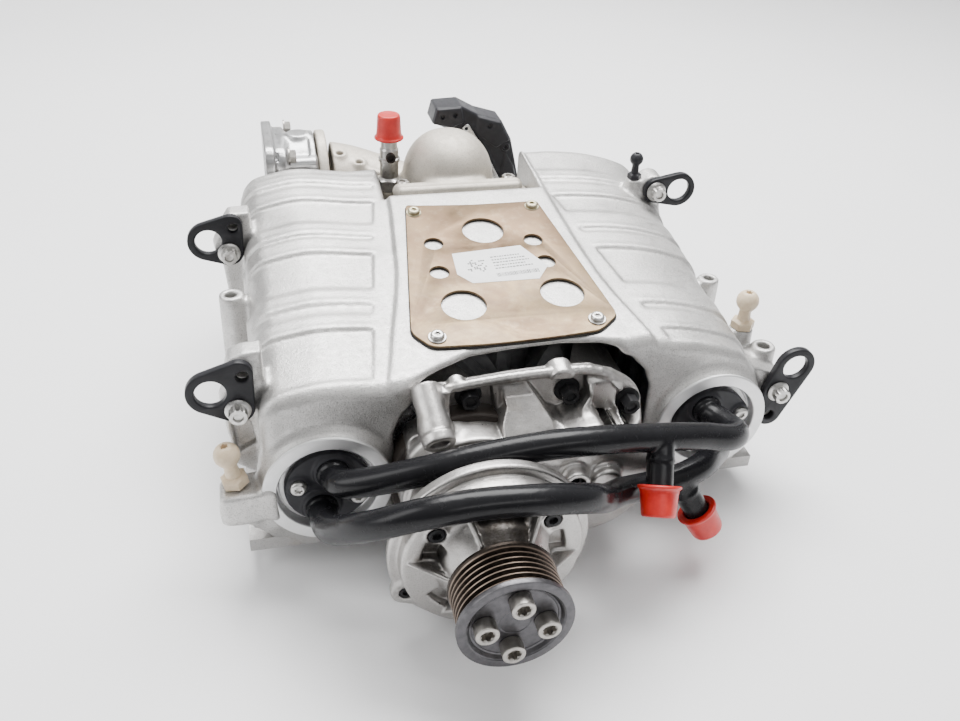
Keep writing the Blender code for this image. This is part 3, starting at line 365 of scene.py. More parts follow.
# ------------------------------------------------------------------ solids by signed distance
def runion(a, b, r):
    if r <= 0:
        return np.minimum(a, b)
    u, w = np.maximum(r - a, 0), np.maximum(r - b, 0)
    return np.maximum(r, np.minimum(a, b)) - np.sqrt(u * u + w * w)


def rmeet(a, b, r):
    if r <= 0:
        return np.maximum(a, b)
    u, w = np.maximum(r + a, 0), np.maximum(r + b, 0)
    return np.minimum(-r, np.maximum(a, b)) + np.sqrt(u * u + w * w)


class Field:
    """Signed distances in mm on a grid, below zero inside the solid."""

    def __init__(self, lo, hi, step):
        self.h = step
        self.lo = np.array(lo, float)
        n = [int(math.ceil((b - a) / step)) + 1 for a, b in zip(lo, hi)]
        self.v = np.full(n, 60.0, F32)
        self.ax = [(lo[i] + step * np.arange(n[i])).astype(F32) for i in range(3)]

    def window(self, lo, hi, pad):
        out = []
        for i in range(3):
            a = max(0, int(math.floor((lo[i] - pad - self.lo[i]) / self.h)))
            b = min(self.v.shape[i], int(math.ceil((hi[i] + pad - self.lo[i]) / self.h)) + 1)
            out.append(slice(a, max(a, b)))
        return tuple(out)

    def at(self, win=(slice(None),) * 3):
        return self.ax[0][win[0]][:, None, None], self.ax[1][win[1]][None, :, None], self.ax[2][win[2]][None, None, :]

    def add(self, shape, r=0.0):
        f, lo, hi = shape
        w = self.window(lo, hi, r + 2.5)
        if self.v[w].size:
            self.v[w] = runion(self.v[w], f(*self.at(w)), r)
        return self

    def cut(self, shape, r=0.0):
        f, lo, hi = shape
        w = self.window(lo, hi, r + 2.5)
        if self.v[w].size:
            self.v[w] = rmeet(self.v[w], -f(*self.at(w)), r)
        return self


def s_box(lo, hi, r=0.0):
    lo, hi = np.minimum(lo, hi), np.maximum(lo, hi)
    c, e = (lo + hi) / 2.0, (hi - lo) / 2.0 - r

    def f(x, y, z):
        qx, qy, qz = np.abs(x - F32(c[0])) - F32(e[0]), np.abs(y - F32(c[1])) - F32(e[1]), np.abs(z - F32(c[2])) - F32(e[2])
        out = np.sqrt(np.maximum(qx, 0) ** 2 + np.maximum(qy, 0) ** 2 + np.maximum(qz, 0) ** 2)
        return out + np.minimum(np.maximum(qx, np.maximum(qy, qz)), 0) - F32(r)
    return f, lo, hi


def s_rod(a, b, ra, rb=None, r=0.0):
    """Cylinder or cone from a to b with flat ends; r rounds its rims."""
    a, b = np.array(a, float), np.array(b, float)
    rb = ra if rb is None else rb
    length = float(np.linalg.norm(b - a))
    d = (b - a) / length
    big = max(ra, rb)

    def f(x, y, z):
        px, py, pz = x - F32(a[0]), y - F32(a[1]), z - F32(a[2])
        t = px * F32(d[0]) + py * F32(d[1]) + pz * F32(d[2])
        rho = np.sqrt(np.maximum(px * px + py * py + pz * pz - t * t, 0))
        rad = ra + (rb - ra) * np.clip(t / length, 0, 1)
        side, end = rho - rad + r, np.maximum(-t, t - F32(length)) + r
        return np.sqrt(np.maximum(side, 0) ** 2 + np.maximum(end, 0) ** 2) + np.minimum(np.maximum(side, end), 0) - F32(r)
    reach = big * np.sqrt(np.maximum(0, 1 - d * d))
    return f, np.minimum(a, b) - reach, np.maximum(a, b) + reach


def s_ball(c, rad):
    def f(x, y, z):
        return np.sqrt((x - F32(c[0])) ** 2 + (y - F32(c[1])) ** 2 + (z - F32(c[2])) ** 2) - F32(rad)
    return f, np.array(c, float) - rad, np.array(c, float) + rad


def s_capsule(a, b, ra, rb=None):
    a, b = np.array(a, float), np.array(b, float)
    rb = ra if rb is None else rb
    ab = b - a
    n2 = float(ab @ ab)

    def f(x, y, z):
        px, py, pz = x - F32(a[0]), y - F32(a[1]), z - F32(a[2])
        t = np.clip((px * F32(ab[0]) + py * F32(ab[1]) + pz * F32(ab[2])) / n2, 0, 1)
        return np.sqrt((px - t * F32(ab[0])) ** 2 + (py - t * F32(ab[1])) ** 2 + (pz - t * F32(ab[2])) ** 2) - (ra + (rb - ra) * t)
    big = max(ra, rb)
    return f, np.minimum(a, b) - big, np.maximum(a, b) + big


def s_path(points, rad):
    """Tube through the points."""
    parts = [s_capsule(p, q, rad) for p, q in zip(points[:-1], points[1:])]

    def f(x, y, z):
        out = None
        for g, _, _ in parts:
            d = g(x, y, z)
            out = d if out is None else np.minimum(out, d)
        return out
    return f, np.min([p[1] for p in parts], axis=0), np.max([p[2] for p in parts], axis=0)


def poly_distance(u, v, pts):
    """Signed distance in the plane to a closed outline."""
    best, sign = None, None
    n = len(pts)
    for i in range(n):
        ax, ay = pts[i]
        bx, by = pts[i - 1]
        ex, ey = bx - ax, by - ay
        wx, wy = u - F32(ax), v - F32(ay)
        t = np.clip((wx * ex + wy * ey) / max(ex * ex + ey * ey, 1e-9), 0, 1)
        d = (wx - ex * t) ** 2 + (wy - ey * t) ** 2
        best = d if best is None else np.minimum(best, d)
        c1, c2, c3 = v >= ay, v < by, ex * wy > ey * wx
        flip = (c1 & c2 & c3) | (~c1 & ~c2 & ~c3)
        sign = flip if sign is None else sign ^ flip
    return np.where(sign, -1, 1).astype(F32) * np.sqrt(best).astype(F32)


def s_slab(axis, pts, lo, hi, r=0.0, grow=0.0):
    """Outline carried along an axis from lo to hi; r rounds every edge. The outline is in the other two axes, in xyz order."""
    pts = [(float(a), float(b)) for a, b in pts]
    k = "xyz".index(axis)
    i, j = [q for q in range(3) if q != k]

    def f(*xyz):
        d2 = poly_distance(xyz[i], xyz[j], pts) + F32(r - grow)
        w = np.abs(xyz[k] - F32((lo + hi) / 2)) - F32((hi - lo) / 2 - r)
        return np.sqrt(np.maximum(d2, 0) ** 2 + np.maximum(w, 0) ** 2) + np.minimum(np.maximum(d2, w), 0) - F32(r)
    a, b = np.zeros(3), np.zeros(3)
    arr = np.array(pts)
    a[[i, j]], b[[i, j]] = arr.min(0) - grow, arr.max(0) + grow
    a[k], b[k] = lo, hi
    return f, a, b


def obj_mesh(name, co, quads, mats, smooth=True):
    mesh = bpy.data.meshes.new(name)
    mesh.vertices.add(len(co))
    mesh.vertices.foreach_set("co", (np.asarray(co, np.float64) * MM).astype(F32).ravel())
    quads = np.asarray(quads, np.int32)
    m, k = quads.shape
    mesh.loops.add(m * k)
    mesh.loops.foreach_set("vertex_index", quads.ravel())
    mesh.polygons.add(m)
    mesh.polygons.foreach_set("loop_start", np.arange(0, m * k, k, dtype=np.int32))
    mesh.polygons.foreach_set("use_smooth", np.full(m, smooth, bool))
    mesh.update(calc_edges=True)
    mesh.validate()
    for mat in (mats if isinstance(mats, (list, tuple)) else [mats]):
        mesh.materials.append(mat)
    obj = bpy.data.objects.new(name, mesh)
    bpy.context.scene.collection.objects.link(obj)
    return obj


def surface(field, name, mat, relax=1):
    """The zero surface of a field as a mesh of small quads, one vertex in each cell it crosses."""
    v = field.v
    for k in range(3):
        edge = [slice(None)] * 3
        for s in (0, -1):
            edge[k] = s
            v[tuple(edge)] = np.maximum(v[tuple(edge)], 0.5)
    inside = v < 0
    count = np.zeros([n - 1 for n in v.shape], np.uint8)
    offs = list(itertools.product((0, 1), repeat=3))
    for o in offs:
        count += inside[tuple(slice(q, q + n - 1) for q, n in zip(o, v.shape))]
    active = (count > 0) & (count < 8)
    cells = np.argwhere(active)
    ids = np.full(active.shape, -1, np.int32)
    ids[active] = np.arange(len(cells), dtype=np.int32)
    vals = np.stack([v[cells[:, 0] + o[0], cells[:, 1] + o[1], cells[:, 2] + o[2]] for o in offs], 1)
    total, hits = np.zeros((len(cells), 3)), np.zeros(len(cells))
    for a in range(8):
        for b in range(a + 1, 8):
            if sum(abs(p - q) for p, q in zip(offs[a], offs[b])) != 1:
                continue
            va, vb = vals[:, a], vals[:, b]
            cross = (va < 0) != (vb < 0)
            t = np.where(cross, va / np.where(cross, va - vb, 1), 0)
            pa, step = np.array(offs[a], float), np.array(offs[b], float) - np.array(offs[a], float)
            total += np.where(cross[:, None], pa + t[:, None] * step, 0)
            hits += cross
    local = total / hits[:, None]
    faces = []
    for k in range(3):
        i, j = (k + 1) % 3, (k + 2) % 3
        lo, hi = [slice(None)] * 3, [slice(None)] * 3
        lo[k], hi[k] = slice(0, -1), slice(1, None)
        change = inside[tuple(lo)] != inside[tuple(hi)]
        at = np.argwhere(change)
        at = at[(at[:, i] > 0) & (at[:, j] > 0) & (at[:, i] < v.shape[i] - 1) & (at[:, j] < v.shape[j] - 1)]
        quad = []
        for di, dj in ((1, 1), (0, 1), (0, 0), (1, 0)):
            q = at.copy()
            q[:, i] -= di
            q[:, j] -= dj
            quad.append(ids[q[:, 0], q[:, 1], q[:, 2]])
        quad = np.stack(quad, 1)
        out = inside[at[:, 0], at[:, 1], at[:, 2]]
        quad[~out] = quad[~out][:, ::-1]
        faces.append(quad)
    faces = np.concatenate(faces)
    pos = cells + local
    for _ in range(relax):
        tot, num = np.zeros_like(pos), np.zeros(len(pos))
        for a, b in ((0, 1), (1, 2), (2, 3), (3, 0)):
            for p, q in ((a, b), (b, a)):
                for c in range(3):
                    tot[:, c] += np.bincount(faces[:, p], pos[faces[:, q], c], len(pos))
                num += np.bincount(faces[:, p], minlength=len(pos))
        mid = tot / np.maximum(num, 1)[:, None]
        pos = np.clip(pos * 0.45 + mid * 0.55, cells - 0.25, cells + 1.25)
    return obj_mesh(name, field.lo + field.h * pos, faces, mat)


def thin_out(obj, most):
    """Keeps a dense mesh under a number of triangles."""
    tris = sum(len(p.vertices) - 2 for p in obj.data.polygons) if len(obj.data.polygons) < 1000 else len(obj.data.polygons) * 2
    if tris <= most:
        return obj
    mod = obj.modifiers.new("thin", "DECIMATE")
    mod.ratio = most / tris
    return bake_mods(obj)


def bake_mods(obj):
    graph = bpy.context.evaluated_depsgraph_get()
    bpy.context.view_layer.update()
    done = bpy.data.meshes.new_from_object(obj.evaluated_get(graph))
    mats = [m for m in obj.data.materials]
    obj.modifiers.clear()
    old = obj.data
    obj.data = done
    obj.data.materials.clear()
    for m in mats:
        obj.data.materials.append(m)
    bpy.data.meshes.remove(old)
    return obj


def own(obj, body, *nodes, slot=None):
    """The piece rides on a body and stands for the nodes, which it hides. The slot is not used."""
    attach(obj, body)
    if nodes:
        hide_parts(*nodes)
    return obj


def ss(a, b, v):
    t = np.clip((v - a) / (b - a), 0, 1)
    return (t * t * (3 - 2 * t)).astype(F32)


def table(xs, ys, n=400):
    """Smooth curve through the points, sampled for np.interp."""
    xs, ys = np.array(xs, float), np.array(ys, float)
    d = np.diff(ys) / np.diff(xs)
    m = np.concatenate([[d[0]], (d[1:] + d[:-1]) / 2, [d[-1]]])
    m[1:-1] = np.where(d[1:] * d[:-1] <= 0, 0, m[1:-1])
    q = np.linspace(xs[0], xs[-1], n)
    k = np.clip(np.searchsorted(xs, q) - 1, 0, len(xs) - 2)
    h = xs[k + 1] - xs[k]
    t = (q - xs[k]) / h
    out = (2 * t**3 - 3 * t**2 + 1) * ys[k] + (t**3 - 2 * t**2 + t) * h * m[k] + (-2 * t**3 + 3 * t**2) * ys[k + 1] + (t**3 - t**2) * h * m[k + 1]
    return lambda v: np.interp(v, q, out).astype(F32)


# ------------------------------------------------------------------ upper cover
DRIVE_X, DRIVEN_X, AXIS_Z, GC_Y0 = -38.5, 33.5, 60.0, -128.0
PORT_L, PORT_R = (-120.0, -110.0, 62.9), (128.0, -91.4, 62.9)


def roof(y):
    return 141.6 + 0.15 * y


def front_plane(x):
    return -103.0 + 18.0 * np.clip((x + 78) / 156, 0, 1)


SEAM_L = table([-130, -97.6, -81.7, -56.4, -29.3, 0, 32.1, 54.9, 72.8, 140], [-84, -81.8, -78.2, -73.0, -66.8, -61.3, -58.1, -55.8, -54.3, -52])
SEAM_R = table([-120, -83.6, -67.2, -36.7, -6.6, 48.2, 80.1, 140], [86, 82.1, 78.4, 70.5, 65.5, 61.1, 59.2, 57])
HUMP_L = table([-170, -156, -146, -133, -115, -97, -80, -60, -50], [-11.0, -6.6, -4.2, -1.5, 0.6, -0.3, -1.9, -2.7, -2.8])
HUMP_R = table([50, 62, 75, 90, 106, 121, 134, 146, 160, 172], [-2.8, -3.0, -3.6, -4.6, -6.6, -10.0, -14.2, -19.4, -27.5, -36])
PANELS_L = ((-98, -51, 1.9), (-41, -28, 1.5), (-17, 23, 2.0), (36.5, 43, 1.4), (53, 83, 1.9), (96, 105, 1.4), (113, 136, 1.6))
PANELS_R = ((-84, -69, 1.5), (-53, -44, 1.5), (-27, 15, 2.0), (31, 39, 1.5), (55, 79, 1.9), (93, 101, 1.4), (110, 150, 1.6))
LIP_X = [-90, -78, -75.2, -64.7, -51.8, -32.4, -7.2, 24.1, 48.6, 60, 66.5, 70, 90]
LIP_Y = [-120, -112, -105, -96.9, -89.6, -81.3, -78.4, -77.4, -80.0, -83.5, -89, -108, -125]


def panel_depth(y, panels):
    out = 0
    for front, rear, deep in panels:
        soft = min(7.0, (rear - front) * 0.6)
        shape = ss(rear + 0.5, rear - 1.3, y) * ss(front, front + soft, y)
        taper = 0.72 + 0.28 * np.clip((y - front) / (rear - front), 0, 1)
        out = out + deep * shape * taper
    return out


def crest(y, panels):
    out = 0
    for front, rear, deep in panels:
        out = out + 0.55 * np.exp(-(((y - rear - 2.6) / 2.0) ** 2))
    return out


def cover_height(x, y):
    p = 141.6 + 0.15 * y
    c = 1.5 * np.clip((y + 50) / 90, 0, 1)
    left = p + HUMP_L(x) + c * np.exp(-(((x + 117) / 26.0) ** 2))
    right = p + HUMP_R(x)
    li, ri = -65 - 0.142 * (83 - y), 64 + 0.185 * (82 - y)
    front_l, front_r = ss(-101, -92, y), ss(-84, -77, y)
    left = left - panel_depth(y, PANELS_L) * ss(li + 0.6, li - 1.5, x) * front_l + crest(y, PANELS_L) * ss(li + 4, li - 6, x)
    right = right - panel_depth(y, PANELS_R) * ss(ri - 0.6, ri + 1.8, x) * front_r + crest(y, PANELS_R) * ss(ri - 4, ri + 6, x)
    sl, sr = SEAM_L(y), SEAM_R(y)
    pad_l, pad_r = ss(sl - 2.6, sl + 0.6, x), ss(sr + 3.4, sr - 0.8, x)
    return np.where(x < 0, p * pad_l + left * (1 - pad_l), p * pad_r + right * (1 - pad_r)).astype(F32)


def upper_cover():
    h = 1.3
    g = Field((-186, -122, 16), (192, 156, 168), h)
    x, y, z = g.at()
    x2, y2 = x[:, :, 0], y[:, :, 0]
    top = cover_height(x2, y2)[:, :, None]
    fade = ss(40, 96, z)
    rec_l = (panel_depth(y2, PANELS_L) * 0.95)[:, :, None] * fade
    rec_r = (panel_depth(y2, PANELS_R) * 0.95)[:, :, None] * fade
    fp = front_plane(x2)[:, :, None].astype(F32)
    back = (132.0 + 18.0 * np.clip((x2 + 78) / 156, 0, 1))[:, :, None]

    def body(inset):
        a = z - top + inset * 1.05
        a = rmeet(a, -156.0 - x + inset + rec_l * (inset == 0), 13.0)
        a = rmeet(a, x - 159.0 + inset + rec_r * (inset == 0), 17.0)
        a = rmeet(a, fp - y + inset, 8.0 if inset == 0 else 4.0)
        a = rmeet(a, y - back + inset, 11.0 if inset == 0 else 6.0)
        return a.astype(F32)

    v = body(0)
    # notch at the rear for the inlet elbow
    notch = np.maximum(np.abs(x) - 56.5, 87.0 - y)
    v = rmeet(v, -notch, 4.0)
    v = np.maximum(v, 22.3 - z)
    g.v = v.astype(F32)
    # ring bosses grow out of the front walls
    for (px, py, pz), flare in ((PORT_L, 4.5), (PORT_R, 4.5)):
        g.add(s_rod((px, py, pz), (px, py + 16, pz), 37.4, 39.0, 1.2), 7.5)
    # rim flange along the bottom edge
    inner = body(5.2)
    wall_notch = np.maximum(np.abs(x) - 61.5, 82.0 - y)
    inner = np.maximum(inner, -wall_notch)
    g.v = np.maximum(g.v, -inner).astype(F32)
    for px, py, pz in (PORT_L, PORT_R):
        g.cut(s_rod((px, py - 2, pz), (px, py + 22, pz), 31.3), 0.8)
        g.cut(s_rod((px, py - 2, pz), (px, py + 1.2, pz), 32.6), 0.6)
    # arched front opening over the gear case, and the roof cut back above it
    arch = [(-80.5, 10), (-80.5, 92), (-76, 105), (-66, 113), (-48, 118.5), (-20, 122.0), (20, 123.6), (52, 122.5), (68, 117), (79, 105), (84, 92), (84, 10)]
    g.cut(s_slab("y", arch, -130, -66), 3.0)
    lip_y = np.interp(x2, LIP_X, LIP_Y)[:, :, None].astype(F32)
    w = g.window((-82, -125, 84), (80, -70, 150), 4)
    xs, ys, zs = g.at(w)
    lipv = np.maximum((ys - np.interp(xs[:, :, 0], LIP_X, LIP_Y)[:, :, None].astype(F32)) * 0.86, np.maximum(-77.5 - xs, xs - 72.5))
    lipv = np.maximum(lipv, 96 - zs)
    g.v[w] = rmeet(g.v[w], -lipv.astype(F32), 3.4)
    # rear window for the elbow's foot and the bypass port
    g.cut(s_box((-52, 60, 15), (51, 100, 112)), 1.5)
    g.cut(s_rod((50, 114, 122), (70, 114, 122), 15))
    # front left foot with the ball stud, its web, and the pad for the lifting eye
    foot = [(-181, -111), (-181, -96), (-176, -91), (-150, -88), (-150, -112), (-178, -113)]
    g.add(s_slab("z", foot, 46, 66.2, 2.0), 4.0)
    g.add(s_capsule((-172, -102, 50), (-156, -98, 34), 6.5), 8.0)
    g.add(s_slab("y", [(-170.5, 66), (-174, 96), (-171, 122), (-168.5, 140), (-160, 143.0), (-150, 143.5), (-150, 60), (-160, 58)], -82.4, -69, 1.2), 5.0)
    g.cut(s_slab("y", [(-169, 74), (-170.5, 96), (-160, 96), (-158, 80)], -83, -76), 1.5)
    g.add(s_rod((-165.8, -82.4, 110), (-165.8, -70, 110), 9.5, 10.5, 0.8), 3.0)
    g.add(s_rod((-161.5, -82.4, 131.5), (-161.5, -72, 131.5), 8.0, 9, 0.8), 3.0)
    # rear left pad
    g.add(s_slab("y", [(-169, 100), (-171, 126), (-170, 148), (-164, 157.5), (-150, 158), (-150, 92), (-162, 90)], 61.9, 76, 1.2), 5.0)
    g.add(s_rod((-165.5, 61.9, 132.5), (-165.5, 76, 132.5), 9.0, 10.5, 0.8), 3.0)
    # left screw tower with its column
    g.add(s_rod((-166.2, 14, 56), (-166.2, 14, 125.5), 8.4, 7.6, 1.0), 3.0)
    g.add(s_box((-167, 8.5, 50), (-152, 19.5, 121), 2.0), 6.0)
    g.cut(s_rod((-166.2, 14, 100), (-166.2, 14, 130), 3.7), 0.5)
    # ribs standing on the left wall
    for yy in (-46, -12, 46, 92):
        g.add(s_capsule((-155.0, yy, 44), (-155.2, yy, 118), 3.2, 2.6), 5.0)
    # right side: eye pad, ball stud pad, two screw towers
    g.add(s_slab("y", [(150, 38), (158, 40), (186, 47), (187.5, 62), (187, 79), (180, 84.5), (150, 96)], -75.4, -62, 1.2), 5.0)
    g.add(s_rod((178.8, -75.4, 74.8), (178.8, -64, 74.8), 8.8, 9.5, 0.8), 2.5)
    g.add(s_rod((177.7, -54.9, 62), (177.7, -54.9, 94.2), 8.6, 8.0, 1.0), 3.0)
    g.add(s_box((152, -61, 58), (178, -49, 90), 2.0), 5.0)
    g.cut(s_rod((177.7, -54.9, 70), (177.7, -54.9, 98), 4.0), 0.5)
    g.add(s_rod((168, -39, 78), (168, -39, 99.9), 8.6, 7.6, 0.8), 3.0)
    g.add(s_box((150, -45, 76), (168, -33, 96), 2.0), 5.0)
    g.add(s_rod((170.4, 20.8, 74), (170.4, 20.8, 104.5), 8.0, 7.4, 1.0), 3.0)
    g.add(s_box((150, 15.5, 70), (170, 26, 101), 2.0), 5.0)
    g.cut(s_rod((170.4, 20.8, 84), (170.4, 20.8, 110), 3.6), 0.5)
    # rear right boss that carries the eye, and the stud foot
    g.add(s_rod((147.5, 88.2, 146), (147.5, 104, 146), 9.5, 10.5, 0.8), 3.0)
    g.add(s_box((130, 89, 118), (156, 104, 144), 3.0), 6.0)
    g.add(s_rod((134, 95.5, 138), (134, 95.5, 151.9), 6.8, 6.2, 0.6), 3.0)
    # tapped holes for the eye bolts and plate screws
    for bx, bz, y0 in ((-165.8, 110, -84), (178.8, 74.8, -77), (-165.5, 132.5, 60.5), (147.5, 146, 87)):
        g.cut(s_rod((bx, y0, bz), (bx, y0 + 16, bz), 4.0))
    g.cut(s_rod((-161.5, -84, 131.5), (-161.5, -76, 131.5), 3.4))
    g.cut(s_rod((-161.5, 60, 150.0), (-161.5, 70, 150.0), 3.4))
    g.cut(s_rod((177.0, -78, 55.0), (177.0, -70, 55.0), 3.4))
    obj = surface(g, "upper_cover_casting", CAST)
    return own(thin_out(obj, 190000), "housing", "upper_cover", slot="cast")


cover = upper_cover()


# ------------------------------------------------------------------ turned pieces and fasteners
def lathe(name, rings, at, axis, mat, n=48, sharp=32):
    """Body of revolution. Each ring is (radius, height); a radius may be a function of the angle, so sockets and hexes are cut in."""
    at, d = Vector(at), Vector(axis).normalized()
    side = d.orthogonal().normalized()
    other = d.cross(side)
    co, index, faces = [], [], []
    for rad, h in rings:
        if not callable(rad) and rad == 0:
            index.append([len(co)])
            co.append(tuple(at + d * h))
            continue
        row = []
        for i in range(n):
            t = 2 * math.pi * i / n
            r = rad(t) if callable(rad) else rad
            row.append(len(co))
            co.append(tuple(at + d * h + side * (r * math.cos(t)) + other * (r * math.sin(t))))
        index.append(row)
    for a, b in zip(index[:-1], index[1:]):
        for i in range(n):
            j = (i + 1) % n
            if len(a) == 1 and len(b) == 1:
                continue
            if len(a) == 1:
                faces.append((a[0], b[j], b[i]))
            elif len(b) == 1:
                faces.append((a[i], a[j], b[0]))
            else:
                faces.append((a[i], a[j], b[j], b[i]))
    return poly_mesh(name, co, faces, mat, sharp)


def poly_mesh(name, co, faces, mat, sharp=32):
    mesh = bpy.data.meshes.new(name)
    mesh.from_pydata([(x * MM, y * MM, z * MM) for x, y, z in co], [], faces)
    bm = bmesh.new()
    bm.from_mesh(mesh)
    bmesh.ops.recalc_face_normals(bm, faces=bm.faces)
    bm.to_mesh(mesh)
    bm.free()
    for p in mesh.polygons:
        p.use_smooth = True
    mesh.set_sharp_from_angle(angle=math.radians(sharp))
    for m in (mat if isinstance(mat, (list, tuple)) else [mat]):
        mesh.materials.append(m)
    obj = bpy.data.objects.new(name, mesh)
    bpy.context.scene.collection.objects.link(obj)
    return obj


def soft_profile(pts, r=0.4, steps=3):
    """Rounds the corners of an open profile of (radius, height)."""
    out = [pts[0]]
    for a, b, c in zip(pts[:-2], pts[1:-1], pts[2:]):
        a, b, c = (np.array(q, float) for q in (a, b, c))
        u, w = a - b, c - b
        lu, lw = np.linalg.norm(u), np.linalg.norm(w)
        if lu < 1e-6 or lw < 1e-6:
            continue
        k = min(r, lu * 0.45, lw * 0.45)
        p, q = b + u / lu * k, b + w / lw * k
        for i in range(steps + 1):
            t = i / steps
            out.append(tuple((1 - t) ** 2 * p + 2 * t * (1 - t) * b + t * t * q))
    out.append(pts[-1])
    return out


def star(r, deep=0.16):
    return lambda t: r * (1 + deep * math.cos(6 * t))


def hexed(apothem, corner=1.0):
    def f(t):
        a = (t % (math.pi / 3)) - math.pi / 6
        return min(apothem / math.cos(a), apothem * (1.03 + 0.1247 * corner))
    return f


def twelve(apothem):
    return lambda t: max(apothem / math.cos((t % (math.pi / 3)) - math.pi / 6), apothem / math.cos(((t + math.pi / 6) % (math.pi / 3)) - math.pi / 6)) * 0.985


def pan_screw(name, at, axis, r, h, mat, socket=0.42, base=None, body="housing", node=None, slot="steel", deep=1.6):
    """Screw head with a star socket; base is a washer's (radius, thickness)."""
    rings = [(0, -2.0), (2.2, -2.0), (2.2, 0)]
    z = 0.0
    if base:
        rings += [(base[0] - 0.2, 0), (base[0], 0.2), (base[0], base[1] - 0.3), (base[0] - 0.3, base[1])]
        z = base[1]
    rings += [(r, z), (r, z + h * 0.42), (r * 0.96, z + h * 0.66), (r * 0.84, z + h * 0.88), (r * 0.66, z + h), (r * (socket + 0.14), z + h), (star(r * socket), z + h - 0.15), (star(r * socket * 0.98), z + h - deep), (0, z + h - deep - 0.5)]
    o = lathe(name, rings, at, axis, mat)
    if body:
        own(o, body, *( [node] if node else []), slot=slot if node else None)
    return o


def cap_screw(name, at, axis, r, h, mat, node, body, slot="steel"):
    """Cylinder-head screw with a deep star socket."""
    rings = soft_profile([(0, -3), (2.9, -3), (2.9, 0), (r, 0), (r, h), (r * 0.66, h)], 0.7, 4)
    rings += [(r * 0.60, h - 0.5), (star(r * 0.57), h - 0.9), (star(r * 0.53), h - 4.4), (0, h - 5.0)]
    return own(lathe(name, rings, at, axis, mat), body, node, slot=slot)


def flange_bolt(name, at, axis, washer, apothem, h, mat, node, slot, hollow=0.62, flange_h=1.9, sides=6):
    rings = [(0, -3), (3.1, -3), (3.1, 0), (washer - 0.3, 0), (washer, 0.4), (washer - 0.1, 1.0), (apothem * 1.22, flange_h)]
    shape = hexed(apothem) if sides == 6 else twelve(apothem)
    rings += [(shape, flange_h + 0.1), (shape, h - 0.7), (lambda t: min(shape(t), apothem * 1.06), h - 0.1), (apothem * 0.86, h), (apothem * hollow + 0.3, h), (apothem * hollow, h - 0.5), (apothem * hollow * 0.93, h - 1.6), (0, h - 2.1)]
    return own(lathe(name, rings, at, axis, mat, 96 if sides == 12 else 48, 28), "housing", node, slot=slot)


def fillet_outline(pts, r, steps=6):
    out, n = [], len(pts)
    for i in range(n):
        a, b, c = np.array(pts[i - 1], float), np.array(pts[i], float), np.array(pts[(i + 1) % n], float)
        rr = r[i] if isinstance(r, (list, tuple)) else r
        u, w = (a - b) / np.linalg.norm(a - b), (c - b) / np.linalg.norm(c - b)
        k = min(rr, np.linalg.norm(a - b) * 0.45, np.linalg.norm(c - b) * 0.45)
        for s in range(steps + 1):
            t = s / steps
            out.append(tuple((1 - t) ** 2 * (b + u * k) + 2 * t * (1 - t) * b + t * t * (b + w * k)))
    return out


def curve_points(points, gap=2.0):
    """Smooth curve through the points, with a point about every gap mm."""
    p = [np.array(q, float) for q in points]
    p = [2 * p[0] - p[1]] + p + [2 * p[-1] - p[-2]]
    out = []
    for i in range(1, len(p) - 2):
        n = max(1, int(np.linalg.norm(p[i + 1] - p[i]) / gap))
        for k in range(n):
            t = k / n
            out.append(0.5 * ((2 * p[i]) + (-p[i - 1] + p[i + 1]) * t + (2 * p[i - 1] - 5 * p[i] + 4 * p[i + 1] - p[i + 2]) * t * t + (-p[i - 1] + 3 * p[i] - 3 * p[i + 1] + p[i + 2]) * t ** 3))
    out.append(p[-2])
    return out


def dress(names, mat):
    """Gives CAD nodes that stay as they are a better material."""
    for nm in names:
        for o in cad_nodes(nm):
            for slot in o.material_slots:
                slot.material = mat


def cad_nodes(nm):
    o = bpy.data.objects.get(nm)
    return [o] if o else []


